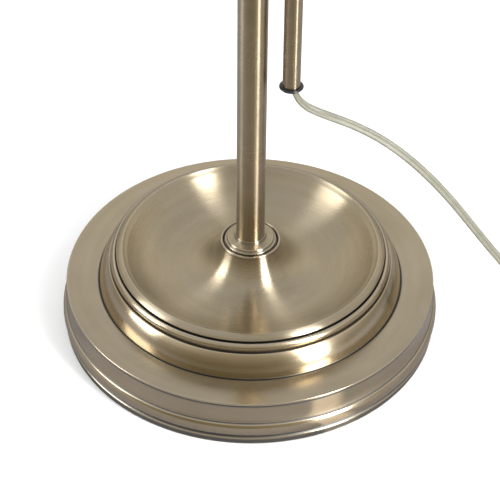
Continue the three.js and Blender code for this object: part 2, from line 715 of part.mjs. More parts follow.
function plugBody() {
  const neck = 4.4;
  const half = 12;
  const shoulder = PLUG_BACK + 15;
  const shape = new THREE.Shape();
  shape.moveTo(-neck, PLUG_BACK);
  shape.lineTo(neck, PLUG_BACK);
  shape.quadraticCurveTo(neck + 0.6, shoulder - 5, half, shoulder);
  shape.lineTo(half, PLUG_FRONT);
  shape.lineTo(-half, PLUG_FRONT);
  shape.lineTo(-half, shoulder);
  shape.quadraticCurveTo(-neck - 0.6, shoulder - 5, -neck, PLUG_BACK);
  const body = prism(shape, 0, PLUG_H, SIDES_CORD);
  const slots = BLADES.map(([, x, width]) => block(
    x - BLADE_T / 2 - GAP, x + BLADE_T / 2 + GAP,
    PLUG_FRONT - BLADE_ROOT - GAP, PLUG_FRONT + 1,
    (PLUG_H - width) / 2 - GAP, (PLUG_H + width) / 2 + GAP,
  ));
  return cut(body, ...slots);
}

function plugBlade([name, x, width]) {
  return piece(name, block(
    x - BLADE_T / 2, x + BLADE_T / 2,
    PLUG_FRONT - BLADE_ROOT, PLUG_FRONT + BLADE_LENGTH,
    (PLUG_H - width) / 2, (PLUG_H + width) / 2,
  ), brightBrass);
}

function cords() {
  return group(
    0, 0, 0,
    piece('cord_free', cordStretch(CORD_ROUTE, 40), cordVinyl),
    piece('cord_tail', cordStretch(TAIL_ROUTE, 5), cordVinyl),
    group(COIL_X, COIL_Y, 0,
      piece('cord_coil', cordCoil(), cordVinyl),
      piece('cord_tie', cordTie(), blackRubber)),
    group(PLUG_X, 0, 0, piece('plug_body', plugBody(), cordVinyl), ...BLADES.map(plugBlade)),
  );
}

const lamp = group(0, 0, 0, base(), pole(), clamp(), arm(), head(), cords());

export default lamp;
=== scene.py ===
"""Looks for the pharmacy floor lamp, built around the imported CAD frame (Blender 4.5, metres, +Z up).

The camera and the cord come first, then the turned brass pieces from the floor up, then the head.
Outlines are in millimetres and are worked out from the boxes of the CAD nodes that they stand for.
"""

import math

import bpy
from mathutils import Matrix, Vector


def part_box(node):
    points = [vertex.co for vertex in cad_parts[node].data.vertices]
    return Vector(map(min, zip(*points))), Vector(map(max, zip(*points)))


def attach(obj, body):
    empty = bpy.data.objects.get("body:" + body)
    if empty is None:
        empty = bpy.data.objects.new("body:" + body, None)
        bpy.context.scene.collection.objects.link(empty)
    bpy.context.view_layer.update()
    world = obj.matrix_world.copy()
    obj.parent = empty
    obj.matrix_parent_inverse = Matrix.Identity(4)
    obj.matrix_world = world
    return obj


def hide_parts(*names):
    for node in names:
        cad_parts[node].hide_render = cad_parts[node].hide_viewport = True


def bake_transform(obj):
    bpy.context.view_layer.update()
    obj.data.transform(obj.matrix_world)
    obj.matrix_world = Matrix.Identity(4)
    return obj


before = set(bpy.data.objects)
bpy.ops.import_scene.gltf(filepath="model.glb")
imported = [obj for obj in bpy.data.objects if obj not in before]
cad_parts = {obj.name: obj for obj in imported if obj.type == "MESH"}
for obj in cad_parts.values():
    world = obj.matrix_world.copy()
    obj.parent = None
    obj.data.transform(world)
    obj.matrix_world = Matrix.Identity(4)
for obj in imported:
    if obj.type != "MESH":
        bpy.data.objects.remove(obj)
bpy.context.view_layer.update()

MM = 0.001


def low(node):
    """The lowest corner of a CAD node's box, in millimetres."""
    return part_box(node)[0] / MM


def high(node):
    """The highest corner of a CAD node's box, in millimetres."""
    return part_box(node)[1] / MM


def span(node, axis, origin=0.0):
    """Where a CAD node starts and ends along an axis, in millimetres from origin."""
    return getattr(low(node), axis) - origin, getattr(high(node), axis) - origin


def middle(node, axis):
    """The middle of a CAD node's box along an axis, in millimetres."""
    return sum(span(node, axis)) / 2


# Driving dimensions, in millimetres, from the frame
BASE_R = high("base_shell").x
POLE_R = high("pole_lower").x
ARM_X = middle("arm_upright", "x")
ARM_R = (high("arm_upright").x - low("arm_upright").x) / 2
ARM_FOOT_Z = low("arm_upright").z
ARM_Z = middle("arm_bar", "z")
SHADE_X = middle("shade", "x")
SHADE_R = high("shade").y
NECK_Z = low("neck_ring").z - 0.3
RIM_R = high("base_dish").x
RIM_Z = NECK_Z - 4.4
SEAM_Z = RIM_Z - 3.5
DISH_Z = NECK_Z - 20.3
FLANGE_Z = NECK_Z - 29.5
STEP_R = BASE_R - 25.8
CLAMP_Z = low("clamp_block").z
CLAMP_TOP = high("clamp_block").z
CLAMP_MID = (CLAMP_Z + CLAMP_TOP) / 2
ORIGIN = (0, 0, 0)


# ------------ Camera


def make_camera():
    """Looks down on the base, as the photograph does: the lamp's upper part is above the view."""
    place = Vector((-0.0002, -0.9248, 0.8687))
    elevation = math.radians(41.35)
    roll = math.radians(0.62)
    right = Vector((1, 0, 0))
    up = Vector((0, math.sin(elevation), math.cos(elevation)))
    back = Vector((0, -math.cos(elevation), math.sin(elevation)))
    x_axis = right * math.cos(roll) + up * math.sin(roll)
    y_axis = up * math.cos(roll) - right * math.sin(roll)
    data = bpy.data.cameras.new("camera")
    data.sensor_width = 36
    data.lens = 130.8
    data.clip_start = 0.01
    camera = bpy.data.objects.new("camera", data)
    bpy.context.scene.collection.objects.link(camera)
    camera.matrix_world = Matrix.Translation(place) @ Matrix((x_axis, y_axis, back)).transposed().to_4x4()
    bpy.context.scene.camera = camera


make_camera()


# ------------ Node graphs


class Graph:
    """A short way to write the nodes of a material or a world, its owner."""

    def __init__(self, owner, shader="Principled BSDF"):
        self.owner = owner
        self.owner.use_nodes = True
        self.tree = self.owner.node_tree
        self.shader = self.tree.nodes[shader]

    def node(self, kind, **settings):
        made = self.tree.nodes.new(kind)
        for key, value in settings.items():
            setattr(made, key, value)
        return made

    def feed(self, socket, value):
        if isinstance(value, bpy.types.NodeSocket):
            self.tree.links.new(value, socket)
        else:
            socket.default_value = value

    def fed(self, made, *values, **named):
        """A node's outputs, with values on its first inputs and on the inputs that are named."""
        for socket, value in zip(made.inputs, values):
            self.feed(socket, value)
        for name, value in named.items():
            self.feed(made.inputs[name], value)
        return made.outputs

    def math(self, operation, *values, clamp=False):
        return self.fed(self.node("ShaderNodeMath", operation=operation, use_clamp=clamp), *values)[0]

    def times(self, first, second, clamp=False):
        return self.math("MULTIPLY", first, second, clamp=clamp)

    def plus(self, first, second, clamp=False):
        return self.math("ADD", first, second, clamp=clamp)

    def combine(self, *values):
        return self.fed(self.node("ShaderNodeCombineXYZ"), *values)[0]

    def position(self, kind="Object"):
        return self.node("ShaderNodeTexCoord").outputs[kind]

    def separate(self, vector):
        return self.fed(self.node("ShaderNodeSeparateXYZ"), vector)

    def attribute(self, name):
        return self.node("ShaderNodeAttribute", attribute_name=name).outputs["Fac"]

    def noise(self, vector, scale, detail=2.0, roughness=0.5, w=None):
        made = self.node("ShaderNodeTexNoise", noise_dimensions="3D" if w is None else "4D")
        fourth = {} if w is None else {"W": w}
        return self.fed(made, Vector=vector, Scale=scale, Detail=detail, Roughness=roughness, **fourth)["Fac"]

    def ramp(self, value, low_in, high_in, low_out, high_out, kind="LINEAR"):
        made = self.node("ShaderNodeMapRange", interpolation_type=kind)
        return self.fed(made, value, low_in, high_in, low_out, high_out)[0]

    def blend(self, factor, first, second):
        made = self.node("ShaderNodeMix", data_type="RGBA")
        self.feed(made.inputs[0], factor)
        self.feed(made.inputs[6], (*first, 1) if isinstance(first, tuple) else first)
        self.feed(made.inputs[7], (*second, 1) if isinstance(second, tuple) else second)
        return made.outputs[2]

    def bump(self, height, strength, distance):
        outputs = self.fed(self.node("ShaderNodeBump"), Height=height, Strength=strength, Distance=distance)
        self.feed(self.shader.inputs["Normal"], outputs[0])

    def set(self, **values):
        for name, value in values.items():
            socket = self.shader.inputs[name.replace("_", " ").title().replace("Ior", "IOR")]
            if isinstance(value, tuple) and len(value) == 3:
                value = (*value, 1)
            self.feed(socket, value)


# ------------ Materials

BRASS_DARK = (0.325, 0.265, 0.172)
BRASS_LIGHT = (0.475, 0.397, 0.285)
BRASS_WORN = (0.66, 0.58, 0.45)
# Tarnish and patina for the dark lines, which also carry painted shade
TARNISH_AND_SHADE = (0.135, 0.150, 0.155)
PATINA_AND_SHADE = (0.014, 0.016, 0.018)


def brass(name, turned, roughness, brushing=0.0, grain=1.0):
    """Antique brass. Brushed round the piece's own Z axis where it is turned, else along its Z axis.

    brushing stretches the highlights across the brush lines, and grain is the depth of the lines.
    """
    graph = Graph(bpy.data.materials.new(name))
    place = graph.position()
    x, y, z = graph.separate(place)
    if turned:
        radius = graph.math("SQRT", graph.plus(graph.times(x, x), graph.times(y, y)))
        cosine = graph.math("DIVIDE", x, radius)
        sine = graph.math("DIVIDE", y, radius)

        def rings(across, around):
            """Noise drawn out round the axis: across and around are its scales."""
            scaled = [graph.times(*pair) for pair in ((radius, across), (z, across), (cosine, around))]
            return graph.noise(graph.combine(*scaled), 1, 2, 0.5, graph.times(sine, around))

        fine = rings(2600, 1.6)
        broad = rings(150, 1.3)
        tangent = graph.node("ShaderNodeTangent", direction_type="RADIAL", axis="Z")
        graph.feed(graph.shader.inputs["Tangent"], tangent.outputs[0])
        graph.set(anisotropic=brushing, anisotropic_rotation=0.25)
    else:
        drawn = graph.combine(graph.times(x, 900), graph.times(y, 900), graph.times(z, 60))
        fine = graph.noise(drawn, 1, 3, 0.6)
        broad = graph.noise(place, 120, 2)
    blotch = graph.noise(place, 16, 4, 0.6)
    edge = graph.attribute("edge")
    crease = graph.times(edge, -1, clamp=True)
    worn = graph.times(edge, 0.45, clamp=True)
    dull = graph.ramp(blotch, 0.3, 0.7, -0.12, 0.24)
    tone = graph.plus(graph.ramp(broad, 0.3, 0.7, 0.3, 0.6), dull, clamp=True)
    colour = graph.blend(tone, BRASS_DARK, BRASS_LIGHT)
    colour = graph.blend(worn, colour, BRASS_WORN)
    # Dark lines: tarnish and patina in the grooves, with painted shade in them and on the foot
    colour = graph.blend(crease, colour, TARNISH_AND_SHADE)
    colour = graph.blend(graph.math("POWER", crease, 3), colour, PATINA_AND_SHADE)
    spread = 0.03 * grain
    shine = graph.ramp(fine, 0.2, 0.8, roughness - spread, roughness + spread)
    shine = graph.plus(shine, graph.ramp(blotch, 0.3, 0.7, -0.02, 0.04))
    shine = graph.plus(shine, graph.times(crease, 0.3))
    graph.set(base_color=colour, metallic=1.0, roughness=shine)
    graph.bump(fine, 0.1 * grain, 0.00002)
    return graph.owner


def plain(name, colour, roughness, grain=400.0, depth=0.00003, metallic=0.0, spread=0.15, **extra):
    """A plain material with fine grain in its colour, its roughness and its surface."""
    graph = Graph(bpy.data.materials.new(name))
    place = graph.position()
    coarse = graph.noise(place, grain / 8, 3, 0.6)
    fine = graph.noise(place, grain, 2, 0.5)
    dark = tuple(channel * (1 - spread) for channel in colour)
    light = tuple(min(1.0, channel * (1 + spread)) for channel in colour)
    graph.set(
        base_color=graph.blend(graph.ramp(coarse, 0.3, 0.7, 0, 1), dark, light),
        roughness=graph.ramp(fine, 0.2, 0.8, roughness * 0.85, min(1.0, roughness * 1.15)),
        metallic=metallic,
        **extra,
    )
    graph.bump(fine, 0.4, depth)
    return graph.owner


def cord_vinyl():
    """Clear vinyl over two bundles of twisted strands: slanting lines show faintly along each bundle."""
    graph = Graph(bpy.data.materials.new("clear_cord"))
    along = graph.attribute("along")
    across = graph.attribute("across")
    strand_pitch = 0.0021
    lay = graph.plus(graph.times(along, 2 * math.pi / strand_pitch), graph.times(across, 5.5))
    strand = graph.math("SINE", lay)
    cloud = graph.noise(graph.position(), 90, 3, 0.6)
    dull = graph.ramp(cloud, 0.3, 0.7, -0.15, 0.25)
    tone = graph.plus(graph.ramp(strand, -1, 1, 0.25, 0.65), dull, clamp=True)
    graph.set(
        base_color=graph.blend(tone, (0.145, 0.139, 0.103), (0.255, 0.248, 0.196)),
        metallic=0.0,
        roughness=0.4,
        specular_ior_level=0.35,
        coat_weight=0.15,
        coat_roughness=0.2,
    )
    graph.bump(strand, 0.12, 0.00008)
    return graph.owner


TURNED_BRASS = brass("antique_brass_turned", True, 0.19, 0.5)
SPUN_BRASS = brass("antique_brass_spun", True, 0.28, 1.0)
DRAWN_BRASS = brass("antique_brass_drawn", True, 0.25, 1.0, 0.15)
CAST_BRASS = brass("antique_brass_cast", False, 0.28)
CORD_VINYL = cord_vinyl()
PLUG_VINYL = plain("plug_vinyl", (0.36, 0.335, 0.25), 0.32, coat_weight=0.3, coat_roughness=0.15)
BLACK_RUBBER = plain("black_rubber", (0.010, 0.011, 0.014), 0.30, 700, 0.00002)
BLACK_PHENOLIC = plain("black_phenolic", (0.018, 0.016, 0.015), 0.28, 300, 0.00001)
NYLON = plain("nylon", (0.74, 0.72, 0.66), 0.45)
FELT = plain("felt", (0.030, 0.034, 0.032), 0.95, 1500, 0.0004, spread=0.45, sheen_weight=0.5)
FIBRE = plain("fibre", (0.15, 0.075, 0.045), 0.8, 900, 0.0001, spread=0.4)
IRON = plain("cast_iron", (0.055, 0.055, 0.058), 0.7, 300, 0.0004, metallic=0.7, spread=0.4)
ZINC = plain("zinc_steel", (0.58, 0.59, 0.60), 0.34, 500, 0.00002, metallic=1.0)
PLAIN_BRASS = plain("contact_brass", (0.78, 0.58, 0.27), 0.25, 500, 0.00001, metallic=1.0)
ENAMEL = plain("white_enamel", (0.86, 0.85, 0.81), 0.35, 250, 0.00003, spread=0.04)
OPAL = plain("opal_glass", (0.90, 0.89, 0.84), 0.22, 60, 0.00001, spread=0.02, subsurface_weight=0.3)


# ------------ Mesh helpers

AXES = {"Z": Matrix(), "X": Matrix.Rotation(math.pi / 2, 4, "Y"), "Y": Matrix.Rotation(-math.pi / 2, 4, "X")}


def smooth_joins(piece, angle=38):
    """Shades a piece smoothly except across its sharp edges."""
    piece.data.polygons.foreach_set("use_smooth", [True] * len(piece.data.polygons))
    piece.data.set_sharp_from_angle(angle=math.radians(angle))
    return piece


def mesh_object(name, vertices, faces, material, centre=ORIGIN, axis="Z", sharp=32.0, **attributes):
    """A mesh, smooth but for edges sharper than sharp degrees.

    The vertices are in metres, the centre is in millimetres, and the axis is where the mesh's Z points.
    Each attribute is a number for each vertex.
    """
    mesh = bpy.data.meshes.new(name)
    mesh.from_pydata([tuple(v) for v in vertices], [], faces)
    for key, values in attributes.items():
        mesh.attributes.new(key, "FLOAT", "POINT").data.foreach_set("value", values)
    mesh.materials.append(material)
    mesh.update()
    made = bpy.data.objects.new(name, mesh)
    made.matrix_world = Matrix.Translation(Vector(centre) * MM) @ AXES[axis]
    bpy.context.scene.collection.objects.link(made)
    return smooth_joins(made, sharp)


def ring_faces(rings, closed=False):
    """Faces from each ring of vertices to the next, and from the last to the first where closed."""
    faces = []
    for lower, upper in zip(rings, rings[1:] + rings[:closed]):
        for side in range(len(lower)):
            following = (side + 1) % len(lower)
            face = list(dict.fromkeys((lower[side], lower[following], upper[following], upper[side])))
            if len(face) > 2:
                faces.append(face)
    return faces


def equal_rings(count, sides):
    """The vertex numbers of rings that follow each other."""
    return [range(ring * sides, (ring + 1) * sides) for ring in range(count)]


# Dark lines in the grooves of the turned pieces, tarnish with painted shade, and painted shade on the foot:
# rounding, strength, width in millimetres
FINE_LINE = (0.1, -1.0, 0.95)
EDGE_LINE = (0.3, -0.85, 1.3)
SOFT_LINE = (0.4, -0.75, 1.4)
BROAD_LINE = (0.5, -0.85, 2.6)
# Painted shade: the foot of the base is darkened where it turns down towards the floor
FOOT_SHADE = (0.5, -0.72, 3.4)


def soften(corners):
    """Rounds an outline's corners.

    A corner is (radius, height). It may add a rounding, and then the strength and the width of a dark
    line in it. Gives points as (radius, height, edge). edge falls off along the outline, from about 1
    on a worn outer corner and from about -1 in a dark line.
    """
    points, marks = [], []
    count = len(corners)
    for index, corner in enumerate(corners):
        here = Vector(corner[:2])
        before = Vector(corners[index - 1][:2])
        after = Vector(corners[(index + 1) % count][:2])
        rounding = corner[2] if len(corner) > 2 else 0.25
        into = here - before
        away = after - here
        turned = math.atan2(into.x * away.y - into.y * away.x, into.dot(away)) if here.x > 1e-6 else 0.0
        rounded = abs(turned) >= math.radians(12) and rounding > 0
        if len(corner) > 3:
            marks.append((here, *corner[3:]))
        elif rounded and abs(turned) > math.radians(35):
            marks.append((here, 0.8, 0.6) if turned > 0 else (here, -0.45, 0.7))
        if not rounded:
            points.append(here)
            continue
        reach = min(rounding * math.tan(abs(turned) / 2), into.length * 0.45, away.length * 0.45)
        start = here - into.normalized() * reach
        end = here + away.normalized() * reach
        steps = max(2, min(8, int(math.degrees(abs(turned)) / 14)))
        for step in range(steps + 1):
            t = step / steps
            points.append(start * (1 - t) ** 2 + here * (2 * t * (1 - t)) + end * t ** 2)
    return [(point.x, point.y, edge_value(point, marks)) for point in refine(points, marks)]


def refine(points, marks):
    """Adds points to the long stretches near a mark, so that its wear can fade along them."""
    out = []
    for index, point in enumerate(points):
        following = points[(index + 1) % len(points)]
        out.append(point)
        length = (following - point).length
        near = min([min((point - m[0]).length, (following - m[0]).length) for m in marks], default=9.0)
        if near < 3 and length > 0.5:
            spots = [d for d in (0.4, 0.8, 1.2, 1.6, 2.2, 2.8) if d < length / 2]
            spots += [length - d for d in reversed(spots)]
            out += [point.lerp(following, d / length) for d in spots]
    return out


def edge_value(point, marks):
    """The strongest mark that reaches a point of an outline."""
    values = [0.0]
    for place, strength, width in marks:
        fade = max(0.0, 1 - (point - place).length / width / 1.6)
        values.append(strength * fade * fade * (3 - 2 * fade))
    return max(values, key=abs)


def bow(start, first, second, end, steps=10):
    """Points along a curve pulled towards first and second, without its two ends."""
    points = []
    for step in range(1, steps):
        t = step / steps
        s = 1 - t
        weights = (s ** 3, 3 * s * s * t, 3 * s * t * t, t ** 3)
        points.append(tuple(
            sum(weight * point[k] for weight, point in zip(weights, (start, first, second, end)))
            for k in (0, 1)))
    return points


def arc(centre_r, centre_z, radius, start, end, steps):
    """Points along an arc, with its angles in degrees from the outward direction."""
    angles = [math.radians(start + (end - start) * step / steps) for step in range(steps + 1)]
    return [(centre_r + radius * math.cos(angle), centre_z + radius * math.sin(angle)) for angle in angles]


def turn(corners, centre, material, axis="Z", sides=96, ripple=None):
    """Turns an outline about a line through centre. It runs anticlockwise, radius to the right.

    ripple(angle, radius) is a factor on the radius, for scallops and knurls.
    """
    points = soften(corners)
    vertices, values, rings = [], [], []
    for radius, height, value in points:
        count = sides if radius > 1e-6 else 1
        rings.append([len(vertices) + side % count for side in range(sides)])
        for side in range(count):
            angle = side * 2 * math.pi / sides
            reach = radius * (ripple(angle, radius) if ripple else 1)
            vertices.append((reach * math.cos(angle) * MM, reach * math.sin(angle) * MM, height * MM))
            values.append(value)
    closed = points[0][0] > 1e-6
    return mesh_object("turned", vertices, ring_faces(rings, closed), material, centre, axis, edge=values)


def stand_for(node, body, piece):
    """The piece stands for a CAD node and rides on a body.
    """
    piece.name = node + "_fine"
    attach(piece, body)
    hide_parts(node)
    return piece


# ------------ More mesh helpers: prisms, joined and cut solids, and pieces that follow a path


def settle(piece):
    """Turns a piece's modifiers into its mesh."""
    graph = bpy.context.evaluated_depsgraph_get()
    settled = bpy.data.meshes.new_from_object(piece.evaluated_get(graph))
    piece.modifiers.clear()
    piece.data = settled


def combine(piece, operation, *others):
    """Joins other solids to a piece or cuts them from it. The others are used up."""
    for other in others:
        modifier = piece.modifiers.new(operation, "BOOLEAN")
        modifier.operation = operation
        modifier.solver = "EXACT"
        modifier.object = other
        bpy.context.view_layer.update()
        settle(piece)
        bpy.data.objects.remove(other)
    return piece


def drill(piece, radius, start, end, centre, axis="Z", sides=64):
    """Cuts a round hole through centre, from start to end along the axis."""
    outline = [(0, start), (radius, start, 0), (radius, end, 0), (0, end)]
    combine(piece, "DIFFERENCE", turn(outline, centre, piece.data.materials[0], axis, sides))


def ease(piece, width, steps=3):
    """Rounds a piece's sharp edges."""
    modifier = piece.modifiers.new("bevel", "BEVEL")
    modifier.width = width * MM
    modifier.segments = steps
    modifier.limit_method = "ANGLE"
    modifier.angle_limit = math.radians(35)
    modifier.use_clamp_overlap = True
    bpy.context.view_layer.update()
    settle(piece)
    return smooth_joins(piece)


def prism(loop, start, end, centre, material, axis="Z"):
    """An outline of (x, y) points, anticlockwise, raised from start to end along its own Z."""
    count = len(loop)
    vertices = [(x * MM, y * MM, z * MM) for z in (start, end) for x, y in loop]
    lower, upper = equal_rings(2, count)
    faces = [tuple(reversed(lower)), tuple(upper), *ring_faces([lower, upper])]
    return mesh_object("prism", vertices, faces, material, centre, axis)


def box_loop(width, depth):
    """A rectangle's corners, for prism."""
    x, y = width / 2, depth / 2
    return [(-x, -y), (x, -y), (x, y), (-x, y)]


def hex_loop(across_flats):
    """A hexagon's corners, for prism."""
    corner = across_flats / math.sqrt(3)
    angles = [side * math.pi / 3 for side in range(6)]
    return [(corner * math.cos(angle), corner * math.sin(angle)) for angle in angles]


def thread_outline(crest, root, start, end, pitch):
    """The sawtooth side of a screw thread, from start up to end."""
    outline = []
    turns = int((end - start) / pitch)
    for index in range(turns):
        foot = start + index * (end - start) / turns
        outline.append((root, foot, 0.1))
        outline.append((crest, foot + pitch / 2, 0.1))
    return outline


def smooth_path(points, spacing):
    """A smooth line through the points, in even steps."""
    points = [Vector(point) for point in points]
    ends = [2 * points[0] - points[1], *points, 2 * points[-1] - points[-2]]
    fine = []
    for a, b, c, d in zip(ends, ends[1:], ends[2:], ends[3:]):
        for step in range(24):
            t = step / 24
            fine.append(0.5 * (2 * b + (c - a) * t + (2 * a - 5 * b + 4 * c - d) * t ** 2
                               + (3 * b - 3 * c + d - a) * t ** 3))
    fine.append(points[-1])
    return even_steps(fine, spacing)


def even_steps(line, spacing):
    """The same line with points at even steps of about the given spacing."""
    lengths = [0.0]
    for first, second in zip(line, line[1:]):
        lengths.append(lengths[-1] + (second - first).length)
    count = max(2, round(lengths[-1] / spacing))
    out, index = [], 0
    for step in range(count + 1):
        target = lengths[-1] * step / count
        while index < len(line) - 2 and lengths[index + 1] < target:
            index += 1
        share = (target - lengths[index]) / max(1e-9, lengths[index + 1] - lengths[index])
        out.append(line[index].lerp(line[index + 1], min(1.0, share)))
    return out


# ------------ Cord, coil, tie and plug

CORD_W = 5.6
CORD_T = 2.8
CORD_ROUTE = [  # metres: the free stretch, from the foot of the slim tube to the start of the coil
    (0.0256, 0.0, 0.1910), (0.0274, 0.0, 0.1864), (0.0308, 0.0, 0.1804), (0.0364, 0.0, 0.1754),
    (0.0440, 0.0, 0.1714), (0.0530, 0.0, 0.1674), (0.0660, 0.0, 0.1614), (0.0820, 0.0, 0.1518),
    (0.0990, 0.0, 0.1380), (0.1160, 0.0, 0.1206), (0.1330, 0.0, 0.0998), (0.1490, 0.0, 0.0776),
    (0.1650, 0.0, 0.0554), (0.1810, 0.0, 0.0350), (0.1970, 0.0, 0.0186), (0.2100, 0.0, 0.0090),
    (0.2240, 0.0, 0.0044),
]
TAIL_ROUTE = [  # metres: from the coil to the plug
    (0.2778, 0.0542, 0.0096), (0.2780, 0.0620, 0.0084), (0.2780, 0.0710, 0.0074),
    (0.2780, 0.0804, 0.0070),
]
COIL_X = middle("cord_coil", "x")
COIL_Y = middle("cord_coil", "y")
COIL_OUTER = high("cord_coil").x - COIL_X - CORD_T / 2 - 0.2
COIL_INNER = COIL_OUTER - 11.6
LAYER_1 = low("cord_coil").z + CORD_W / 2 + 0.1
LAYER_2 = high("cord_coil").z - CORD_W / 2 - 0.3


def coil_line():
    """Two layers of turns on edge: the lower winds inwards, the upper outwards, and it ends at the right."""
    inward, outward = 3.5 * 360, 3.75 * 360  # degrees
    line = []
    for degrees in range(0, int(inward + outward) + 1, 5):
        if degrees <= inward:
            share = degrees / inward
            radius = COIL_OUTER + (COIL_INNER - COIL_OUTER) * share
            height = LAYER_1
        else:
            share = (degrees - inward) / outward
            radius = COIL_INNER + (COIL_OUTER - COIL_INNER) * share
            rise = min(1.0, (degrees - inward) / 80)
            height = LAYER_1 + (LAYER_2 - LAYER_1) * rise * rise * (3 - 2 * rise)
        settle_in = math.sin(math.pi * degrees / (inward + outward))
        radius += 0.18 * math.sin(math.radians(degrees * 2.3)) * settle_in
        height += 0.15 * math.sin(math.radians(degrees * 0.81)) * settle_in
        angle = math.radians(degrees - 90)
        line.append(Vector((COIL_X + radius * math.cos(angle), COIL_Y + radius * math.sin(angle), height)))
    return line


def cord_section():
    """Two round lobes joined by a thin web, as (across, through) with each point's angle round its lobe."""
    lobe = CORD_T / 2
    shift = CORD_W / 2 - lobe
    section = []
    for side in (1, -1):
        for step in range(9):
            angle = math.radians(-125 + 250 * step / 8)
            section.append((side * (shift + lobe * math.cos(angle)), side * lobe * math.sin(angle), angle))
        section.append((0.0, side * 0.68 * lobe, math.pi))
    return section


def heading(line, index):
    """The direction of a line at one of its points."""
    return (line[min(len(line) - 1, index + 1)] - line[max(0, index - 1)]).normalized()


def sweep_cord(line, wide):
    """A mesh along the line. wide is the direction of the cord's width at each point."""
    section = cord_section()
    vertices, along, around = [], [], []
    travelled = 0.0
    for index, point in enumerate(line):
        tangent = heading(line, index)
        across = (wide[index] - tangent * wide[index].dot(tangent)).normalized()
        through = tangent.cross(across)
        travelled += (point - line[max(0, index - 1)]).length
        for x, y, angle in section:
            vertices.append((point + across * x + through * y) * MM)
            along.append(travelled * MM)
            around.append(angle)
    rings = equal_rings(len(line), len(section))
    faces = [*ring_faces(rings), tuple(reversed(rings[0])), tuple(rings[-1])]
    return mesh_object("cord", vertices, faces, CORD_VINYL, sharp=80, along=along, across=around)


def cord_line():
    """The whole centreline, and the direction of the cord's width at each point."""
    free = smooth_path([Vector(point) / MM for point in CORD_ROUTE] + [coil_line()[0]], 2.0)
    tail = smooth_path([coil_line()[-1]] + [Vector(point) / MM for point in TAIL_ROUTE], 2.0)
    coil = even_steps(coil_line(), 2.6)
    wide = []
    sideways = Vector((0, 1, 0))
    # The cord leaves flat, turns most of the way on edge in the early part, and is on edge at the coil
    early, early_turn = 0.13, 0.62
    for index in range(len(free)):
        share = index / (len(free) - 1)
        turned = early_turn * min(1.0, share / early) + (1 - early_turn) * share
        turned = math.radians(90) * min(1.0, turned)
        normal = heading(free, index).cross(sideways)
        wide.append(sideways * math.cos(turned) + normal * math.sin(turned))
    line = free + coil[1:] + tail[1:]
    wide += [Vector((0, 0, 1))] * (len(line) - len(free))
    return line, wide


def make_tie():
    """A soft black strap round the turns."""
    bottom, top = low("cord_tie"), high("cord_tie")
    strap, strap_width = 0.9, 8
    corner = 2.6
    _, half_y, half_z = (top - bottom) / 2
    section = box_loop(strap_width, strap)
    centre = (bottom + top) / 2
    path = []
    for side, (sign_y, sign_z) in enumerate(((1, -1), (1, 1), (-1, 1), (-1, -1))):
        for step in range(7):
            angle = math.radians(-90 + side * 90 + 90 * step / 6)
            path.append((
                sign_y * (half_y - strap / 2 - corner) + corner * math.cos(angle),
                sign_z * (half_z - strap / 2 - corner) + corner * math.sin(angle),
                angle))
    vertices = []
    for y, z, angle in path:
        for x, out in section:
            vertices.append((x * MM, (y + out * math.cos(angle)) * MM, (z + out * math.sin(angle)) * MM))
    # Each ring is reversed, so that its faces look outwards
    rings = [ring[::-1] for ring in equal_rings(len(path), len(section))]
    tie = mesh_object("tie", vertices, ring_faces(rings, True), BLACK_RUBBER, centre)
    ease(tie, 0.3, 2)
    return stand_for("cord_tie", "root", tie)


def make_plug():
    """A moulded two-blade plug with a tapered neck, grip ridges, and rounded blades."""
    bottom, top = low("plug_body"), high("plug_body")
    centre_x = middle("plug_body", "x")
    half, neck, depth = top.x - centre_x, 4.4, top.z
    shoulder = bottom.y + 15
    side = bow((neck, bottom.y), (neck + 0.8, bottom.y + 7), (half - 2, bottom.y + 10), (half, shoulder), 8)
    right = [(neck, bottom.y), *side, (half, shoulder), (half, top.y)]
    left = [(-x, y) for x, y in reversed(right)]
    body = prism(right + left, 0, depth, (centre_x, 0, 0), PLUG_VINYL)
    for index in range(4):
        y = shoulder - 2.5 + index * 2.6
        for sign in (-1, 1):
            drill(body, 0.8, -1, depth + 1, (centre_x + sign * (half + 0.35), y, 0), sides=16)
    ease(body, 1.3, 4)
    blades = [make_blade(node, body) for node in ("plug_blade_narrow", "plug_blade_wide")]
    return [stand_for("plug_body", "root", smooth_joins(body)), *blades]


def make_blade(node, body):
    """A flat blade with a hole and cut corners. Its slot is cut in the plug's body."""
    thickness, length, width = high(node) - low(node)
    x, z = middle(node, "x"), middle(node, "z")
    start, end = span(node, "y")
    slot = box_loop(width + 0.6, length + 0.3)
    at = (x, middle(node, "y") - 0.15, z)
    combine(body, "DIFFERENCE", prism(slot, -thickness / 2 - 0.3, thickness / 2 + 0.3, at, PLUG_VINYL, "X"))
    half, tip = width / 2, 1.6
    sides = [(-half, 0), (half, 0), (half, length - tip)]
    end_loop = [(half - tip, length), (tip - half, length), (-half, length - tip)]
    blade = prism(sides + end_loop, -thickness / 2, thickness / 2, (x, start, z), PLAIN_BRASS, "X")
    drill(blade, 1.6, -2, 2, (x, end - 4.5, z), "X", 24)
    ease(blade, 0.3, 2)
    return stand_for(node, "root", blade)


def make_cord():
    """The cord from the foot of the slim tube round its coil to the plug, with its tie and its plug."""
    line, wide = cord_line()
    cord = sweep_cord(line, wide)
    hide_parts("cord_free", "cord_tail", "cord_coil")
    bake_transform(cord)
    tie = make_tie()
    plug = make_plug()


make_cord()


# ------------ Base

PIPE_HOLE = 5.4  # for the threaded pipe that holds the pole on the base


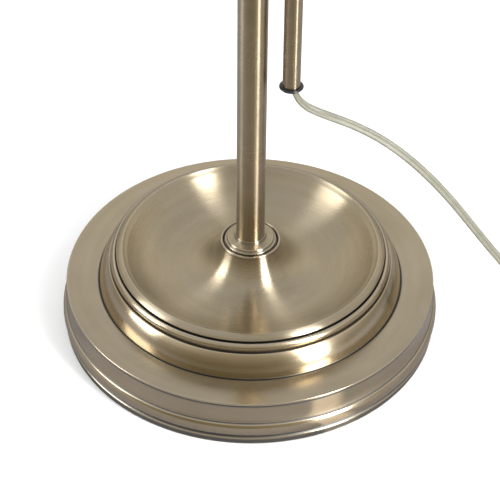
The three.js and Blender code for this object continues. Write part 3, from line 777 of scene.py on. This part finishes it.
def shell_outline():
    """The outer cover of the base, from its foot up over the flange and the cushion to the dish's seam."""
    lip = RIM_R - 3.2
    wall = 1.4
    shoulder = (RIM_R + 4.6, 50.2)
    bead_top = (RIM_R + 1.1, 55.9)
    foot = [
        # The foot carries painted shade, and the groove above it a broad dark line
        (BASE_R - 1.4, 0.6, 0.5), (BASE_R - 1.1, 3.0, *FOOT_SHADE), (BASE_R - 1.0, 5.4, 0.6),
        (BASE_R - 2.3, 6.8, *BROAD_LINE), (BASE_R - 1.2, 8.2, 0.6),
    ]
    roll = bow((BASE_R - 1.2, 8.2), (BASE_R + 0.4, 10.6), (BASE_R + 0.3, 14.8), (BASE_R - 1.6, 17.0))
    cove = [
        (BASE_R - 1.6, 17.2, 0.5), (BASE_R - 2.9, 17.8, *SOFT_LINE), (BASE_R - 2.5, 18.4, 0.5),
        *bow((BASE_R - 2.5, 18.4), (BASE_R - 3.9, 22), (BASE_R - 4.2, 27), (BASE_R - 4.0, FLANGE_Z - 2.9)),
        (BASE_R - 4.0, FLANGE_Z - 2.9, 0.3), (BASE_R - 4.0, FLANGE_Z - 2.3, *EDGE_LINE),
        (BASE_R - 3.3, FLANGE_Z - 1.3, 0.4), (BASE_R - 3.4, FLANGE_Z, 0.8),
    ]
    cushion = [
        (STEP_R + 1.4, FLANGE_Z, 0.3), (STEP_R + 0.2, FLANGE_Z - 0.3, *FINE_LINE),
        (STEP_R - 0.2, FLANGE_Z + 1.3, 0.4),
        *bow((STEP_R - 0.2, FLANGE_Z + 1.3), (STEP_R - 1.4, 41), (STEP_R - 3.6, 46.5), shoulder),
        (*shoulder, 0.5), (RIM_R + 2.9, 49.9, *FINE_LINE),
    ]
    bead = [
        (RIM_R + 3.2, 51.2, 0.4),
        *bow((RIM_R + 3.2, 51.2), (RIM_R + 4.2, 53), (RIM_R + 3.2, 55.2), bead_top),
        (*bead_top, 0.5), (RIM_R - 0.4, SEAM_Z - 0.7, *FINE_LINE), (lip, SEAM_Z - 0.7, 0.1),
    ]
    underside = [
        (lip, SEAM_Z - 1.3, 0.1), (RIM_R - 0.4, SEAM_Z - 1.4, 0.2), (RIM_R + 1.8, 49.3, 0.4),
        *bow((RIM_R + 1.8, 49.3), (STEP_R - 7, 47.6), (STEP_R - 3.6, 42), (STEP_R - 1.5, FLANGE_Z - wall)),
        (STEP_R - 1.5, FLANGE_Z - wall, 0.4), (BASE_R - 5.7, FLANGE_Z - wall, 0.8),
        (BASE_R - 5.7, 0.6, 0.2),
    ]
    return foot + roll + cove + cushion + bead + underside


def dish_outline():
    """The dish that rests on the cover, from its rim to the bead at the top of its cone."""
    low_r, curve = 50, 47.5
    wall = 1.3
    top_bead = 20.4
    seam = SEAM_Z + 0.35
    rim = (RIM_R - 4.6, RIM_Z)
    return [
        (RIM_R - 0.5, seam, *FINE_LINE), (RIM_R - 0.3, seam + 0.5, 0.4),
        *bow((RIM_R - 0.3, seam + 0.5), (RIM_R - 1.0, 58.2), (RIM_R - 2.4, RIM_Z - 0.3), rim, 8),
        (*rim, 0.7), (RIM_R - 5.9, RIM_Z - 1.1, 0.6),
        *arc(low_r, DISH_Z + curve, curve, -45.5, -90, 24),
        *bow((low_r, DISH_Z), (34, DISH_Z), (24.6, 49), (top_bead, NECK_Z - 1.0), 24),
        (top_bead, NECK_Z - 1.0, 0.2), (20.3, NECK_Z - 0.2, 0.1), (20.2, NECK_Z + 1.4, 0.6),
        (19.0, NECK_Z + 1.7, 0.5), (18.3, NECK_Z, *FINE_LINE), (PIPE_HOLE, NECK_Z, 0.2),
        (PIPE_HOLE, NECK_Z - wall, 0.2), (17.8, NECK_Z - wall, 0.4),
        *bow((18.4, NECK_Z - 2.4), (23, 48), (33, DISH_Z - wall), (low_r, DISH_Z - wall), 12),
        *arc(low_r, DISH_Z + curve, curve + wall, -90, -49, 10),
        (RIM_R - 6, seam, 0.3),
    ]


def neck_ring_outline():
    """The stepped ring round the foot of the pole."""
    seat = POLE_R + 0.12
    top = high("neck_ring").z
    return [
        (PIPE_HOLE, NECK_Z + 0.3), (17.2, NECK_Z + 0.3, 0.3), (17.3, NECK_Z + 2.0, 0.6),
        (15.8, NECK_Z + 2.4, 0.2, -0.3, 0.6), (15.5, NECK_Z + 3.7, 0.7), (12.0, NECK_Z + 4.1, 0.5),
        (10.4, NECK_Z + 4.3, 0.3), (10.2, top, 0.4), (seat, top, 0.2), (seat, NECK_Z + 3.1, 0.1),
        (PIPE_HOLE, NECK_Z + 3.1, 0.1),
    ]


def make_base():
    """The cover, its dish, the felt pad that the lamp stands on, and the neck ring."""
    stand_for("base_shell", "root", turn(shell_outline(), ORIGIN, TURNED_BRASS, sides=320))
    stand_for("base_dish", "root", turn(dish_outline(), ORIGIN, SPUN_BRASS, sides=320))
    felt_r = high("felt_pad").x
    pad = [(0, 0), (felt_r, 0, 0.3), (felt_r, 2, 0.6), (0, 2)]
    stand_for("felt_pad", "root", turn(pad, ORIGIN, FELT, sides=160))
    stand_for("neck_ring", "root", turn(neck_ring_outline(), ORIGIN, SPUN_BRASS, sides=160))


make_base()


# ------------ Pole

POLE_INNER = POLE_R - 1


def tube(centre, outer, inner, start, end, axis="Z", material=DRAWN_BRASS, sides=96):
    """A plain tube from start to end."""
    outline = [(inner, start, 0.1), (outer, start, 0.25), (outer, end, 0.25), (inner, end, 0.1)]
    return turn(outline, centre, material, axis, sides)


def make_pole():
    """Two lengths of tube with a beaded ring between them."""
    for node in ("pole_lower", "pole_upper"):
        stand_for(node, "root", tube(ORIGIN, POLE_R, POLE_INNER, *span(node, "z"), sides=128))
    start, end = span("pole_joint_ring", "z")
    bead_r, bead_z = POLE_R + 0.75, (start + end) / 2
    outline = [
        (POLE_INNER, start), (POLE_R, start, 0.2), (bead_r, bead_z - 0.6, 0.7),
        (bead_r, bead_z + 0.6, 0.7), (POLE_R, end, 0.2), (POLE_INNER, end),
    ]
    stand_for("pole_joint_ring", "root", turn(outline, ORIGIN, TURNED_BRASS))


def make_pole_cap():
    """A domed cap with a plug that fits in the pole."""
    bottom, top = span("pole_cap", "z")
    cap_r = high("pole_cap").x
    seat = high("pole_upper").z + 0.3
    cap = [
        (0, bottom), (POLE_INNER - 0.3, bottom, 0.4), (POLE_INNER - 0.3, seat, 0.1),
        (cap_r, seat, 0.4), (cap_r, seat + 2.2, 0.8), (cap_r - 1.3, seat + 2.7, 0.3),
        *bow((cap_r - 1.3, seat + 2.7), (cap_r - 0.9, seat + 8.2), (6, top), (0, top), 14),
        (0, top),
    ]
    stand_for("pole_cap", "root", turn(cap, ORIGIN, TURNED_BRASS))


make_pole()
make_pole_cap()


# ------------ Clamp: it holds the slim tube beside the pole

CLEAR = 0.3  # the gap round a piece that sits in another
TIGHT = 0.15  # the gap round a tube in its socket
SCREW_R = 3  # the clamp's thumb screw
SCREW_AT = (ARM_X, 0, CLAMP_MID)


def make_clamp_block():
    """Two bosses in one casting, with a smaller boss in front for the thumb screw."""
    pole_boss = -low("clamp_block").x
    arm_boss = high("clamp_block").x - ARM_X
    front = low("clamp_block").y
    screw_boss = 6.5
    tangent = math.acos((pole_boss - arm_boss) / ARM_X)
    loop = []
    bosses = ((pole_boss, 0, tangent, 2 * math.pi - tangent), (arm_boss, ARM_X, -tangent, tangent))
    for radius, x, start, end in bosses:
        for step in range(41):
            angle = start + (end - start) * step / 40
            loop.append((x + radius * math.cos(angle), radius * math.sin(angle)))
    block = prism(loop, CLAMP_Z, CLAMP_TOP, ORIGIN, CAST_BRASS)
    ease(block, 1.6, 5)
    boss = [(0, front), (screw_boss, front, 1.2), (screw_boss, -5, 0), (0, -5)]
    combine(block, "UNION", turn(boss, SCREW_AT, CAST_BRASS, "Y"))
    bottom, top = CLAMP_Z - 1, CLAMP_TOP + 1
    drill(block, POLE_R + CLEAR, bottom, top, ORIGIN, sides=96)
    drill(block, high("clamp_bushing").y + CLEAR, bottom, top, (ARM_X, 0, 0), sides=96)
    drill(block, SCREW_R + CLEAR, front - 1, -ARM_R, SCREW_AT, "Y")
    drill(block, 2.4, -pole_boss - 1, -POLE_R, (0, 0, CLAMP_MID), "X")
    stand_for("clamp_block", "root", smooth_joins(block))


def make_clamp_bushing():
    """The nylon sleeve that the slim tube slides in, with a hole for the pressure pad."""
    outer = high("clamp_bushing").y
    bushing = tube((ARM_X, 0, 0), outer, ARM_R + 0.2, *span("clamp_bushing", "z"), material=NYLON)
    drill(bushing, SCREW_R + CLEAR, -2 * outer, -2, SCREW_AT, "Y")
    stand_for("clamp_bushing", "root", smooth_joins(bushing))


def make_thumb_screw():
    """The clamp's threaded screw."""
    start, end = span("clamp_screw", "y")
    thread = thread_outline(SCREW_R, 2.5, start + 0.4, end - 0.4, 1.0)
    outline = [(0, start), *thread, (2.4, end - 0.2, 0.2), (0, end)]
    stand_for("clamp_screw", "thumb_screw", turn(outline, SCREW_AT, ZINC, "Y", 48))


def make_clamp_knob():
    """A scalloped knob with a dished face."""
    near, far = span("clamp_knob", "y")
    knob_r = high("clamp_knob").z - CLAMP_MID
    scallops, depth = 10, 1.1
    grip = 6

    def scallop(angle, radius):
        share = min(1.0, max(0.0, (radius / knob_r - 0.72) / 0.2))
        return 1 - share * depth / knob_r * (0.5 - 0.5 * math.cos(scallops * angle))

    outline = [
        (0, near + 0.5), (5.0, near + 0.5, 0.5), (5.6, near, 0.4), (7.4, near, 1.0),
        (knob_r, near + 2.4, 1.6), (knob_r, far - 2.2, 1.0), (knob_r - 1.6, far - 1.2, 0.8),
        (6.4, far, 0.4), (SCREW_R + CLEAR, far, 0.2), (SCREW_R + CLEAR, far - grip, 0.1),
        (0, far - grip),
    ]
    stand_for("clamp_knob", "thumb_screw", turn(outline, SCREW_AT, TURNED_BRASS, "Y", 160, scallop))


def make_clamp_grub_screw():
    """The headless screw that fixes the clamp to the pole."""
    start, end = span("clamp_grub_screw", "x")
    at = (0, 0, CLAMP_MID)
    outline = [(0, start), (1.6, start, 0.1), *thread_outline(2, 1.65, start + 0.2, end, 0.8), (0, end)]
    screw = turn(outline, at, ZINC, "X", 48)
    combine(screw, "DIFFERENCE", prism(hex_loop(2), start - 1, start + 2, at, ZINC, "X"))
    stand_for("clamp_grub_screw", "root", smooth_joins(screw))


make_clamp_block()
make_clamp_bushing()
make_thumb_screw()
make_clamp_knob()
make_clamp_grub_screw()


# ------------ Slim tube, elbow and arm

SOCKET_R = 8.2


def make_tubes():
    """The slim tube and the arm."""
    inner = ARM_R - 0.8
    stand_for("arm_upright", "arm", tube((ARM_X, 0, 0), ARM_R, inner, *span("arm_upright", "z")))
    stand_for("arm_bar", "arm", tube((0, 0, ARM_Z), ARM_R, inner, *span("arm_bar", "x"), "X"))


def make_grommet():
    """A rubber ring at the foot of the slim tube, with a neck inside the tube."""
    start, end = span("cord_grommet", "z")
    flange = ARM_FOOT_Z - 0.2
    reach = high("cord_grommet").x - ARM_X
    hole, neck = 3.5, ARM_R - 1
    outline = [
        (hole, start + 0.3, 0.3), (hole + 0.9, start, 0.4), (reach - 1.0, start, 0.5),
        (reach + 0.1, (start + flange) / 2, 0.9), (reach - 1.0, flange, 0.5), (neck, flange, 0.1),
        (neck, end, 0.3), (hole, end, 0.2),
    ]
    stand_for("cord_grommet", "arm", turn(outline, (ARM_X, 0, 0), BLACK_RUBBER))


def make_stop_collar():
    """A ring with two grooves. It rests on the clamp when the arm is at its lowest."""
    start, end = span("stop_collar", "z")
    collar_r = high("stop_collar").y
    bore = ARM_R + TIGHT
    outline = [
        (bore, start, 0.1), (collar_r - 0.2, start, 0.5), (collar_r, start + 0.9, 0.3),
        (collar_r, start + 1.6, 0.1), (collar_r - 0.5, start + 1.9, *FINE_LINE),
        (collar_r, start + 2.2, 0.1), (collar_r, end - 2.2, 0.1),
        (collar_r - 0.5, end - 1.9, *FINE_LINE), (collar_r, end - 1.6, 0.1),
        (collar_r, end - 0.9, 0.3), (collar_r - 0.2, end, 0.5), (bore, end, 0.1),
    ]
    collar = turn(outline, (ARM_X, 0, 0), TURNED_BRASS)
    at = (ARM_X, 0, (start + end) / 2)
    screw_r = 1.6
    drill(collar, screw_r + CLEAR, ARM_R - 1, collar_r + 1, at, "X")
    stand_for("stop_collar", "arm", smooth_joins(collar))
    start, end = span("collar_set_screw", "x", ARM_X)
    outline = [(0, start), *thread_outline(screw_r, 1.3, start, end - 0.3, 0.6), (1.2, end, 0.1), (0, end)]
    screw = turn(outline, at, ZINC, "X", 48)
    combine(screw, "DIFFERENCE", prism(hex_loop(1.5), end - 1.4, end + 1, at, ZINC, "X"))
    stand_for("collar_set_screw", "arm", smooth_joins(screw))


def socket_outline(start, end):
    """A tube socket with a bead at its open end, start. Runs towards its root, end."""
    way = 1 if end > start else -1
    outline = [
        (0, start), (SOCKET_R, start, 0.5), (SOCKET_R + 0.5, start + way * 1.2, 0.6),
        (SOCKET_R, start + way * 2.4, 0.4), (SOCKET_R - 0.5, start + way * 3.0, *FINE_LINE),
        (SOCKET_R - 0.4, start + way * 3.8, 0.4), (SOCKET_R - 0.4, end, 0.1), (0, end),
    ]
    return outline if way > 0 else outline[::-1]


def make_elbow():
    """A ball with two beaded sockets. The slim tube enters from below and the arm from the side."""
    ball_r = high("arm_elbow").y
    corner = (ARM_X, 0, ARM_Z)
    depth = ARM_Z - low("arm_elbow").z
    seat = 9.7
    wire_r = 4.2
    elbow = turn([(0, -ball_r), *arc(0, 0, ball_r, -86, 86, 40), (0, ball_r)], corner, CAST_BRASS)
    combine(
        elbow, "UNION",
        turn(socket_outline(-depth, 0), corner, CAST_BRASS),
        turn(socket_outline(depth, 0), corner, CAST_BRASS, "X"))
    drill(elbow, ARM_R + TIGHT, -depth - 1, -seat, corner)
    drill(elbow, ARM_R + TIGHT, seat, depth + 1, corner, "X")
    drill(elbow, wire_r, -depth, 4, corner, sides=32)
    drill(elbow, wire_r, 0, depth, corner, "X", 32)
    stand_for("arm_elbow", "arm", smooth_joins(elbow))


# ------------ Swivel: two discs face to face on one screw

HINGE = (SHADE_X, 0, ARM_Z)
DISC_NEAR, DISC_FAR = 0.6, 7.4  # each half's inner and outer face, from the hinge's middle
HINGE_BORE = 2.2


def swivel_disc(way):
    """One half's disc on the hinge's axis, on the side that way points to, with a raised middle outside."""
    disc_r = ARM_Z - low("swivel_arm_half").z
    inset = DISC_FAR - 0.7
    outline = [
        (0, DISC_NEAR), (disc_r, DISC_NEAR, 0.4), (disc_r, inset, 1.0), (6.6, inset, 0.2),
        (6.0, DISC_FAR, 0.4), (0, DISC_FAR),
    ]
    if way < 0:
        outline = [(radius, -height, *more) for radius, height, *more in reversed(outline)]
    return turn(outline, HINGE, CAST_BRASS, "Y")


def make_swivel_arm_half():
    """The half on the arm's end: a socket, a web and a disc."""
    half = swivel_disc(-1)
    socket_end = low("swivel_arm_half").x
    root = socket_end + 16
    axis = (0, 0, ARM_Z)
    socket = turn(socket_outline(socket_end, root), axis, CAST_BRASS, "X")
    at = (0, -(DISC_NEAR + DISC_FAR) / 2, ARM_Z)
    web = prism(box_loop(11, DISC_FAR - DISC_NEAR), root - 3, SHADE_X - 4, at, CAST_BRASS, "X")
    ease(web, 1.0)
    combine(half, "UNION", socket, web)
    drill(half, ARM_R + TIGHT, socket_end - 1, root - 1.5, axis, "X")
    drill(half, HINGE_BORE, -12, 1, HINGE, "Y", 32)
    stand_for("swivel_arm_half", "arm", smooth_joins(half))


def make_swivel_head_half():
    """The half above the socket cup: a disc, a web and a beaded stem."""
    half = swivel_disc(1)
    bottom = low("swivel_head_half").z
    stem_r = high("swivel_head_half").y
    at = (SHADE_X, (DISC_NEAR + DISC_FAR) / 2, 0)
    web = prism(box_loop(12, DISC_FAR - DISC_NEAR), bottom + 8, ARM_Z, at, CAST_BRASS)
    ease(web, 1.0)
    stem = [
        (0, bottom), (stem_r - 0.3, bottom, 0.4), (stem_r, bottom + 1.4, 0.7),
        (stem_r - 0.3, bottom + 2.8, 0.4), (stem_r - 1.1, bottom + 3.4, *FINE_LINE),
        (stem_r - 0.6, bottom + 4.4, 0.4), (stem_r - 0.6, bottom + 10.6, 1.2),
        (stem_r - 2.4, bottom + 12.0, 0.8), (0, bottom + 12.0),
    ]
    combine(half, "UNION", web, turn(stem, (SHADE_X, 0, 0), CAST_BRASS))
    drill(half, HINGE_BORE, -1, 12, HINGE, "Y", 32)
    drill(half, 5.2, bottom - 1, bottom + 9, (SHADE_X, 0, 0), sides=48)
    stand_for("swivel_head_half", "head", smooth_joins(half))


def make_hinge_screw():
    """A domed screw with a slot."""
    head, tip = span("swivel_screw", "y")
    head_r = high("swivel_screw").x - SHADE_X
    under = head + 2.4
    outline = [
        (0, head),
        *bow((0, head), (2.4, head), (head_r - 0.8, head + 0.2), (head_r, head + 1.3), 6),
        (head_r, head + 1.4, 0.3), (head_r, under, 0.2), (2, under, 0.1), (2, tip - 4, 0.1),
        *thread_outline(2, 1.65, tip - 3.8, tip - 0.4, 0.7),
        (1.4, tip, 0.2), (0, tip),
    ]
    screw = turn(outline, HINGE, TURNED_BRASS, "Y")
    slot = prism(box_loop(2 * head_r + 2, 0.9), head - 1, head + 1.0, HINGE, TURNED_BRASS, "Y")
    combine(screw, "DIFFERENCE", slot)
    stand_for("swivel_screw", "arm", smooth_joins(screw))


def make_hinge_washers():
    for node, material in (("spring_washer", ZINC), ("friction_washer", FIBRE)):
        outer = high(node).x - SHADE_X
        stand_for(node, "arm", tube(HINGE, outer, 2.3, *span(node, "y"), "Y", material))


def make_hinge_nut():
    """A hexagon nut with rounded corners."""
    start, end = span("swivel_nut", "y")
    nut = prism(hex_loop(8), start, end, HINGE, CAST_BRASS, "Y")
    crown = [(0, start), (4.1, start, 0), (4.7, start + 0.5, 0), (4.7, end - 0.6, 0), (3.9, end, 0), (0, end)]
    combine(nut, "INTERSECT", turn(crown, HINGE, CAST_BRASS, "Y"))
    drill(nut, HINGE_BORE, start - 1, end + 1, HINGE, "Y", 32)
    stand_for("swivel_nut", "arm", smooth_joins(nut, 25))


make_tubes()
make_grommet()
make_stop_collar()
make_elbow()
make_swivel_arm_half()
make_swivel_head_half()
make_hinge_screw()
make_hinge_washers()
make_hinge_nut()


# ------------ Head: socket cup, lampholder, shade, bulb and switch

HEAD = (SHADE_X, 0, 0)
SWITCH_AT = (SHADE_X, 0, middle("switch_knob", "z"))
SHADE_HOLE = 17.7
LAMP_THREAD = 3.6  # pitch of the bulb's thread


def make_socket_cup():
    """A spun cup with a domed top, a bead, and a flared lip."""
    bottom, top = span("socket_cup", "z")
    lip_r = high("socket_cup").y
    cup_r = lip_r - 1.2
    hole = 5.3
    outline = [
        (cup_r - 1, bottom, 0.1), (lip_r, bottom, 0.4), (lip_r, bottom + 1.9, 0.6),
        (cup_r, bottom + 2.7, 0.3), (cup_r, bottom + 5.2, 0.3), (cup_r + 0.7, bottom + 6.3, 0.8),
        (cup_r, bottom + 7.4, 0.3), (cup_r, top - 12.5, 0.1),
        *bow((cup_r, top - 12.5), (cup_r, top - 5), (17, top - 0.9), (12.5, top - 0.9), 12),
        (12.5, top - 0.9, 0.3), (11.6, top, 0.4), (hole, top, 0.2), (hole, top - 1, 0.1),
        (11.5, top - 1.6, 0.3),
        *bow((12, top - 1.8), (16.5, top - 1.8), (cup_r - 1, top - 6), (cup_r - 1, top - 12.5), 10),
    ]
    cup = turn(outline, HEAD, TURNED_BRASS, sides=128)
    drill(cup, 3, cup_r - 3, lip_r + 2, SWITCH_AT, "X")
    stand_for("socket_cup", "head", smooth_joins(cup))


def make_lampholder():
    """A phenolic body with a threaded foot for the shade's ring."""
    bottom, top = span("lampholder_body", "z")
    outer = high("lampholder_body").y
    bore = 14.8
    outline = [
        (bore, bottom, 0.3), (outer - 0.4, bottom, 0.3),
        *thread_outline(outer, outer - 0.5, bottom + 0.6, bottom + 8.6, 2.0),
        (outer, bottom + 9, 0.2), (outer, top - 1, 0.8), (outer - 1, top, 0.5), (3.4, top, 0.2),
        (3.4, top - 4, 0.2), (bore, top - 4, 0.2),
    ]
    stand_for("lampholder_body", "head", turn(outline, HEAD, BLACK_PHENOLIC))


def make_screw_shell():
    """The brass thread inside the lampholder."""
    bottom, top = span("screw_shell", "z")
    outer = high("screw_shell").y
    inner = outer - 0.9
    outside = thread_outline(outer, outer - 0.35, bottom + 0.3, top - 0.3, LAMP_THREAD)
    inside = [(radius - 0.5, height, 0.3) for radius, height, _ in reversed(outside)]
    foot = [(inner, bottom, 0.1), (outer, bottom, 0.1)]
    outline = [*foot, *outside, (outer, top, 0.1), (inner, top, 0.1), *inside]
    stand_for("screw_shell", "head", turn(outline, HEAD, PLAIN_BRASS))


def make_shade():
    """A spun bell with a rolled rim: antique brass outside, white enamel inside."""
    bottom, top = span("shade", "z")
    wall = 0.9
    side = SHADE_R - 1
    rim = bottom + 3
    crown = 23
    outline = [
        (side - wall, bottom + 0.6, 0.3), (side - wall + 0.5, bottom, 0.4),
        (SHADE_R - 0.4, bottom, 0.7), (SHADE_R, bottom + 1.2, 0.8),
        (SHADE_R - 0.4, bottom + 2.4, 0.5), (side, rim, 0.3),
        *bow((side, rim), (side, rim + 35), (57, top - 3), (crown + 3, top - 0.5), 48),
        (crown + 2.4, top - 0.4, 0.3), (crown, top - 0.2, 0.3), (SHADE_HOLE, top, 0.2),
        (SHADE_HOLE, top - wall, 0.2), (crown, top - wall - 0.2, 0.3),
        *bow((crown + 3, top - wall - 0.5), (56, top - 4), (side - wall, rim + 34), (side - wall, rim), 48),
        (side - wall, rim, 0.2),
    ]
    shade = turn(outline, HEAD, TURNED_BRASS, sides=256)
    shade.data.materials.append(ENAMEL)
    for face in shade.data.polygons:
        outward = Vector((face.center.x, face.center.y, 0))
        inside = face.normal.dot(outward.normalized()) < -0.02 or face.normal.z < -0.5
        if inside and outward.length < (side - 0.3) * MM:
            face.material_index = 1
    stand_for("shade", "head", shade)


def make_shade_ring():
    """The knurled ring that holds the shade on the lampholder."""
    bottom, top = span("shade_ring", "z")
    ring_r = high("shade_ring").y

    def knurl(angle, radius):
        return 1 - (0.02 * (0.5 + 0.5 * math.cos(48 * angle)) if radius > ring_r - 0.9 else 0)

    outline = [
        (SHADE_HOLE, bottom, 0.2), (ring_r - 1.2, bottom, 0.4), (ring_r, bottom + 0.8, 0.3),
        (ring_r, top - 0.6, 0.3), (ring_r - 0.6, top, 0.2), (SHADE_HOLE, top, 0.2),
    ]
    stand_for("shade_ring", "head", turn(outline, HEAD, BLACK_PHENOLIC, sides=384, ripple=knurl))


def make_bulb():
    """An opal globe, open at its neck."""
    bottom, top = span("bulb_glass", "z")
    globe_r = high("bulb_glass").y
    neck = high("bulb_base").y
    centre = bottom + globe_r
    wall = 0.9
    pull = 0.56 * globe_r
    inner_r, inner_neck = globe_r - wall, neck - wall
    outline = [
        (0, bottom),
        *bow((0, bottom), (pull, bottom), (globe_r, centre - pull), (globe_r, centre), 20),
        (globe_r, centre),
        *bow((globe_r, centre), (globe_r, centre + 16), (neck, centre + 18), (neck, top), 20),
        (neck, top, 0.3), (inner_neck, top, 0.3),
        *bow((inner_neck, top), (inner_neck, centre + 18), (inner_r, centre + 16), (inner_r, centre), 16),
        *arc(0, centre, inner_r, 0, -86, 16),
        (0, bottom + wall),
    ]
    stand_for("bulb_glass", "head", turn(outline, HEAD, OPAL, sides=128))


def make_bulb_base():
    """The bulb's threaded metal cap."""
    bottom, top = span("bulb_base", "z")
    neck = high("bulb_base").y
    shoulder = top - 3.5
    outline = [
        (0, bottom), (neck, bottom, 0.3),
        *thread_outline(neck, neck - 0.8, bottom + 1.5, shoulder - 1.5, LAMP_THREAD),
        (neck - 0.4, shoulder, 0.6), (5, shoulder + 2.4, 0.5), (4.4, top, 0.5), (0, top),
    ]
    stand_for("bulb_base", "head", turn(outline, HEAD, ZINC))


def make_switch():
    """A turn switch: a paddle on a round hub, at the side of the cup."""
    start, end = span("switch_stem", "x", SHADE_X)
    thread = thread_outline(2, 1.7, start + 2, end - 0.4, 0.8)
    outline = [(0, start), (2, start, 0.1), (2, start + 2, 0.1), *thread, (1.5, end, 0.1), (0, end)]
    stand_for("switch_stem", "switch", turn(outline, SWITCH_AT, ZINC, "X", 48))
    near, far = span("switch_knob", "x", SHADE_X)
    width = high("switch_knob").y - low("switch_knob").y
    paddle = prism(box_loop(4, width), near + 3, far, SWITCH_AT, BLACK_PHENOLIC, "X")
    ease(paddle, 1.4, 4)
    hub_end = near + 6.2
    hub = [
        (0, near), (4.2, near, 0.4), (4.6, near + 0.8, 0.4), (4.6, near + 4.6, 1.0),
        (3.0, hub_end, 0.6), (0, hub_end),
    ]
    combine(paddle, "UNION", turn(hub, SWITCH_AT, BLACK_PHENOLIC, "X"))
    drill(paddle, 2.3, near - 1, near + 4, SWITCH_AT, "X", 32)
    stand_for("switch_knob", "switch", smooth_joins(paddle))


make_socket_cup()
make_lampholder()
make_screw_shell()
make_shade()
make_shade_ring()
make_bulb()
make_bulb_base()
make_switch()


# ------------ Pieces inside the lamp keep their CAD meshes

INNER_PIECES = (
    (ZINC, ("bottom_plate", "threaded_pipe", "base_nut", "lock_washer", "fender_washer", "pole_foot_insert",
            "pole_coupler", "neck_nipple", "nipple_nut")),
    (IRON, ("base_weight",)), (NYLON, ("pressure_pad",)), (PLAIN_BRASS, ("centre_contact",)),
    (PLUG_VINYL, ("cord_in_upright", "cord_in_bar", "lampholder_lead")),
)


def paint_inner_pieces():
    """Gives the CAD meshes that stay in use the same materials as the other pieces."""
    for material, nodes in INNER_PIECES:
        for node in nodes:
            mesh = bpy.data.objects[node].data
            for index in range(len(mesh.materials)):
                mesh.materials[index] = material


paint_inner_pieces()


# ------------ Stage


def pale_floor():
    """White to the camera, and greyer where the metal reflects it, as round the photographed lamp.

    In the reflections it is dark some way before the lamp, and lit in one narrow sector at the right.
    """
    graph = Graph(bpy.data.materials.new("floor"))
    ray = graph.node("ShaderNodeLightPath")
    grain = graph.noise(graph.position(), 60, 2)
    white = graph.blend(grain, (0.95, 0.95, 0.95), (0.98, 0.98, 0.98))
    grey = graph.blend(grain, (0.34, 0.335, 0.365), (0.38, 0.375, 0.405))
    x, y, _ = graph.separate(graph.position())
    grey = graph.blend(graph.ramp(y, -0.34, -0.2, 1, 0), grey, (0.16, 0.14, 0.085))
    bearing = graph.math("ARCTAN2", x, graph.times(y, -1))
    right_of = graph.ramp(bearing, math.radians(22.5), math.radians(24), 0, 1)
    left_of = graph.ramp(bearing, math.radians(32), math.radians(36), 1, 0)
    near = graph.ramp(y, -0.24, -0.2, 0, 1)
    lit = graph.times(graph.times(right_of, left_of), near)
    grey = graph.blend(lit, grey, (0.97, 0.92, 0.88))
    graph.set(base_color=graph.blend(ray.outputs["Is Glossy Ray"], white, grey), roughness=0.9)
    return graph.owner


def make_stage():
    half = 30
    corners = [(-half, -half, 0), (half, -half, 0), (half, half, 0), (-half, half, 0)]
    floor = mesh_object("floor", corners, [(0, 1, 2, 3)], pale_floor())
    floor.location.z = -0.0002


def soft_light(name, azimuth, elevation, distance, width, height, power, colour=(1, 1, 1)):
    """A softbox aimed at the middle of the lamp's base. Azimuth 0 is towards the camera, +90 to the right."""
    data = bpy.data.lights.new(name, "AREA")
    data.shape = "RECTANGLE"
    data.size = width
    data.size_y = height
    data.energy = power
    data.color = colour
    light = bpy.data.objects.new(name, data)
    bpy.context.scene.collection.objects.link(light)
    turned, raised = math.radians(azimuth), math.radians(elevation)
    place = distance * Vector((
        math.sin(turned) * math.cos(raised), -math.cos(turned) * math.cos(raised), math.sin(raised)))
    light.location = place
    light.rotation_euler = place.to_track_quat("Z", "Y").to_euler()


def make_world():
    """A bright room, dimmer near the floor, with a dark olive part in front. The camera sees plain white."""
    world = bpy.data.worlds.new("world")
    graph = Graph(world, "Background")
    _, y, z = graph.separate(graph.position("Generated"))
    height = graph.ramp(z, 0.15, 0.5, 0, 1, "SMOOTHSTEP")
    top = graph.ramp(z, 0.6, 0.68, 0, 1, "SMOOTHSTEP")
    front_height = graph.ramp(z, -0.1, 0.8, 0, 1, "SMOOTHSTEP")
    front = graph.ramp(y, -0.85, -0.45, 1, 0, "SMOOTHSTEP")
    room = graph.blend(height, (0.50, 0.47, 0.40), (1.12, 1.09, 1.02))
    room = graph.blend(top, room, (0.84, 0.87, 0.92))
    low_front = graph.blend(front_height, (0.33, 0.28, 0.165), (0.76, 0.71, 0.62))
    room = graph.blend(front, room, low_front)
    ray = graph.node("ShaderNodeLightPath")
    room = graph.blend(ray.outputs["Is Camera Ray"], room, (0.95, 0.95, 0.95))
    graph.set(color=room, strength=0.95)
    bpy.context.scene.world = world


def make_lights():
    """A tall softbox at the right, a wide cool one at the left, and a small one high above each."""
    bpy.context.scene.view_settings.view_transform = "Standard"
    cool = (0.92, 0.96, 1.0)
    soft_light("softbox_right", 44.5, 20, 2.0, 0.54, 1.5, 52)
    soft_light("softbox_left", -80, 23, 2.0, 0.80, 1.0, 17, cool)
    soft_light("softbox_high_left", -94, 47, 2.0, 0.45, 0.9, 3.5)
    soft_light("softbox_high_right", 48, 50, 2.0, 0.40, 0.7, 8)


make_stage()
make_world()
make_lights()
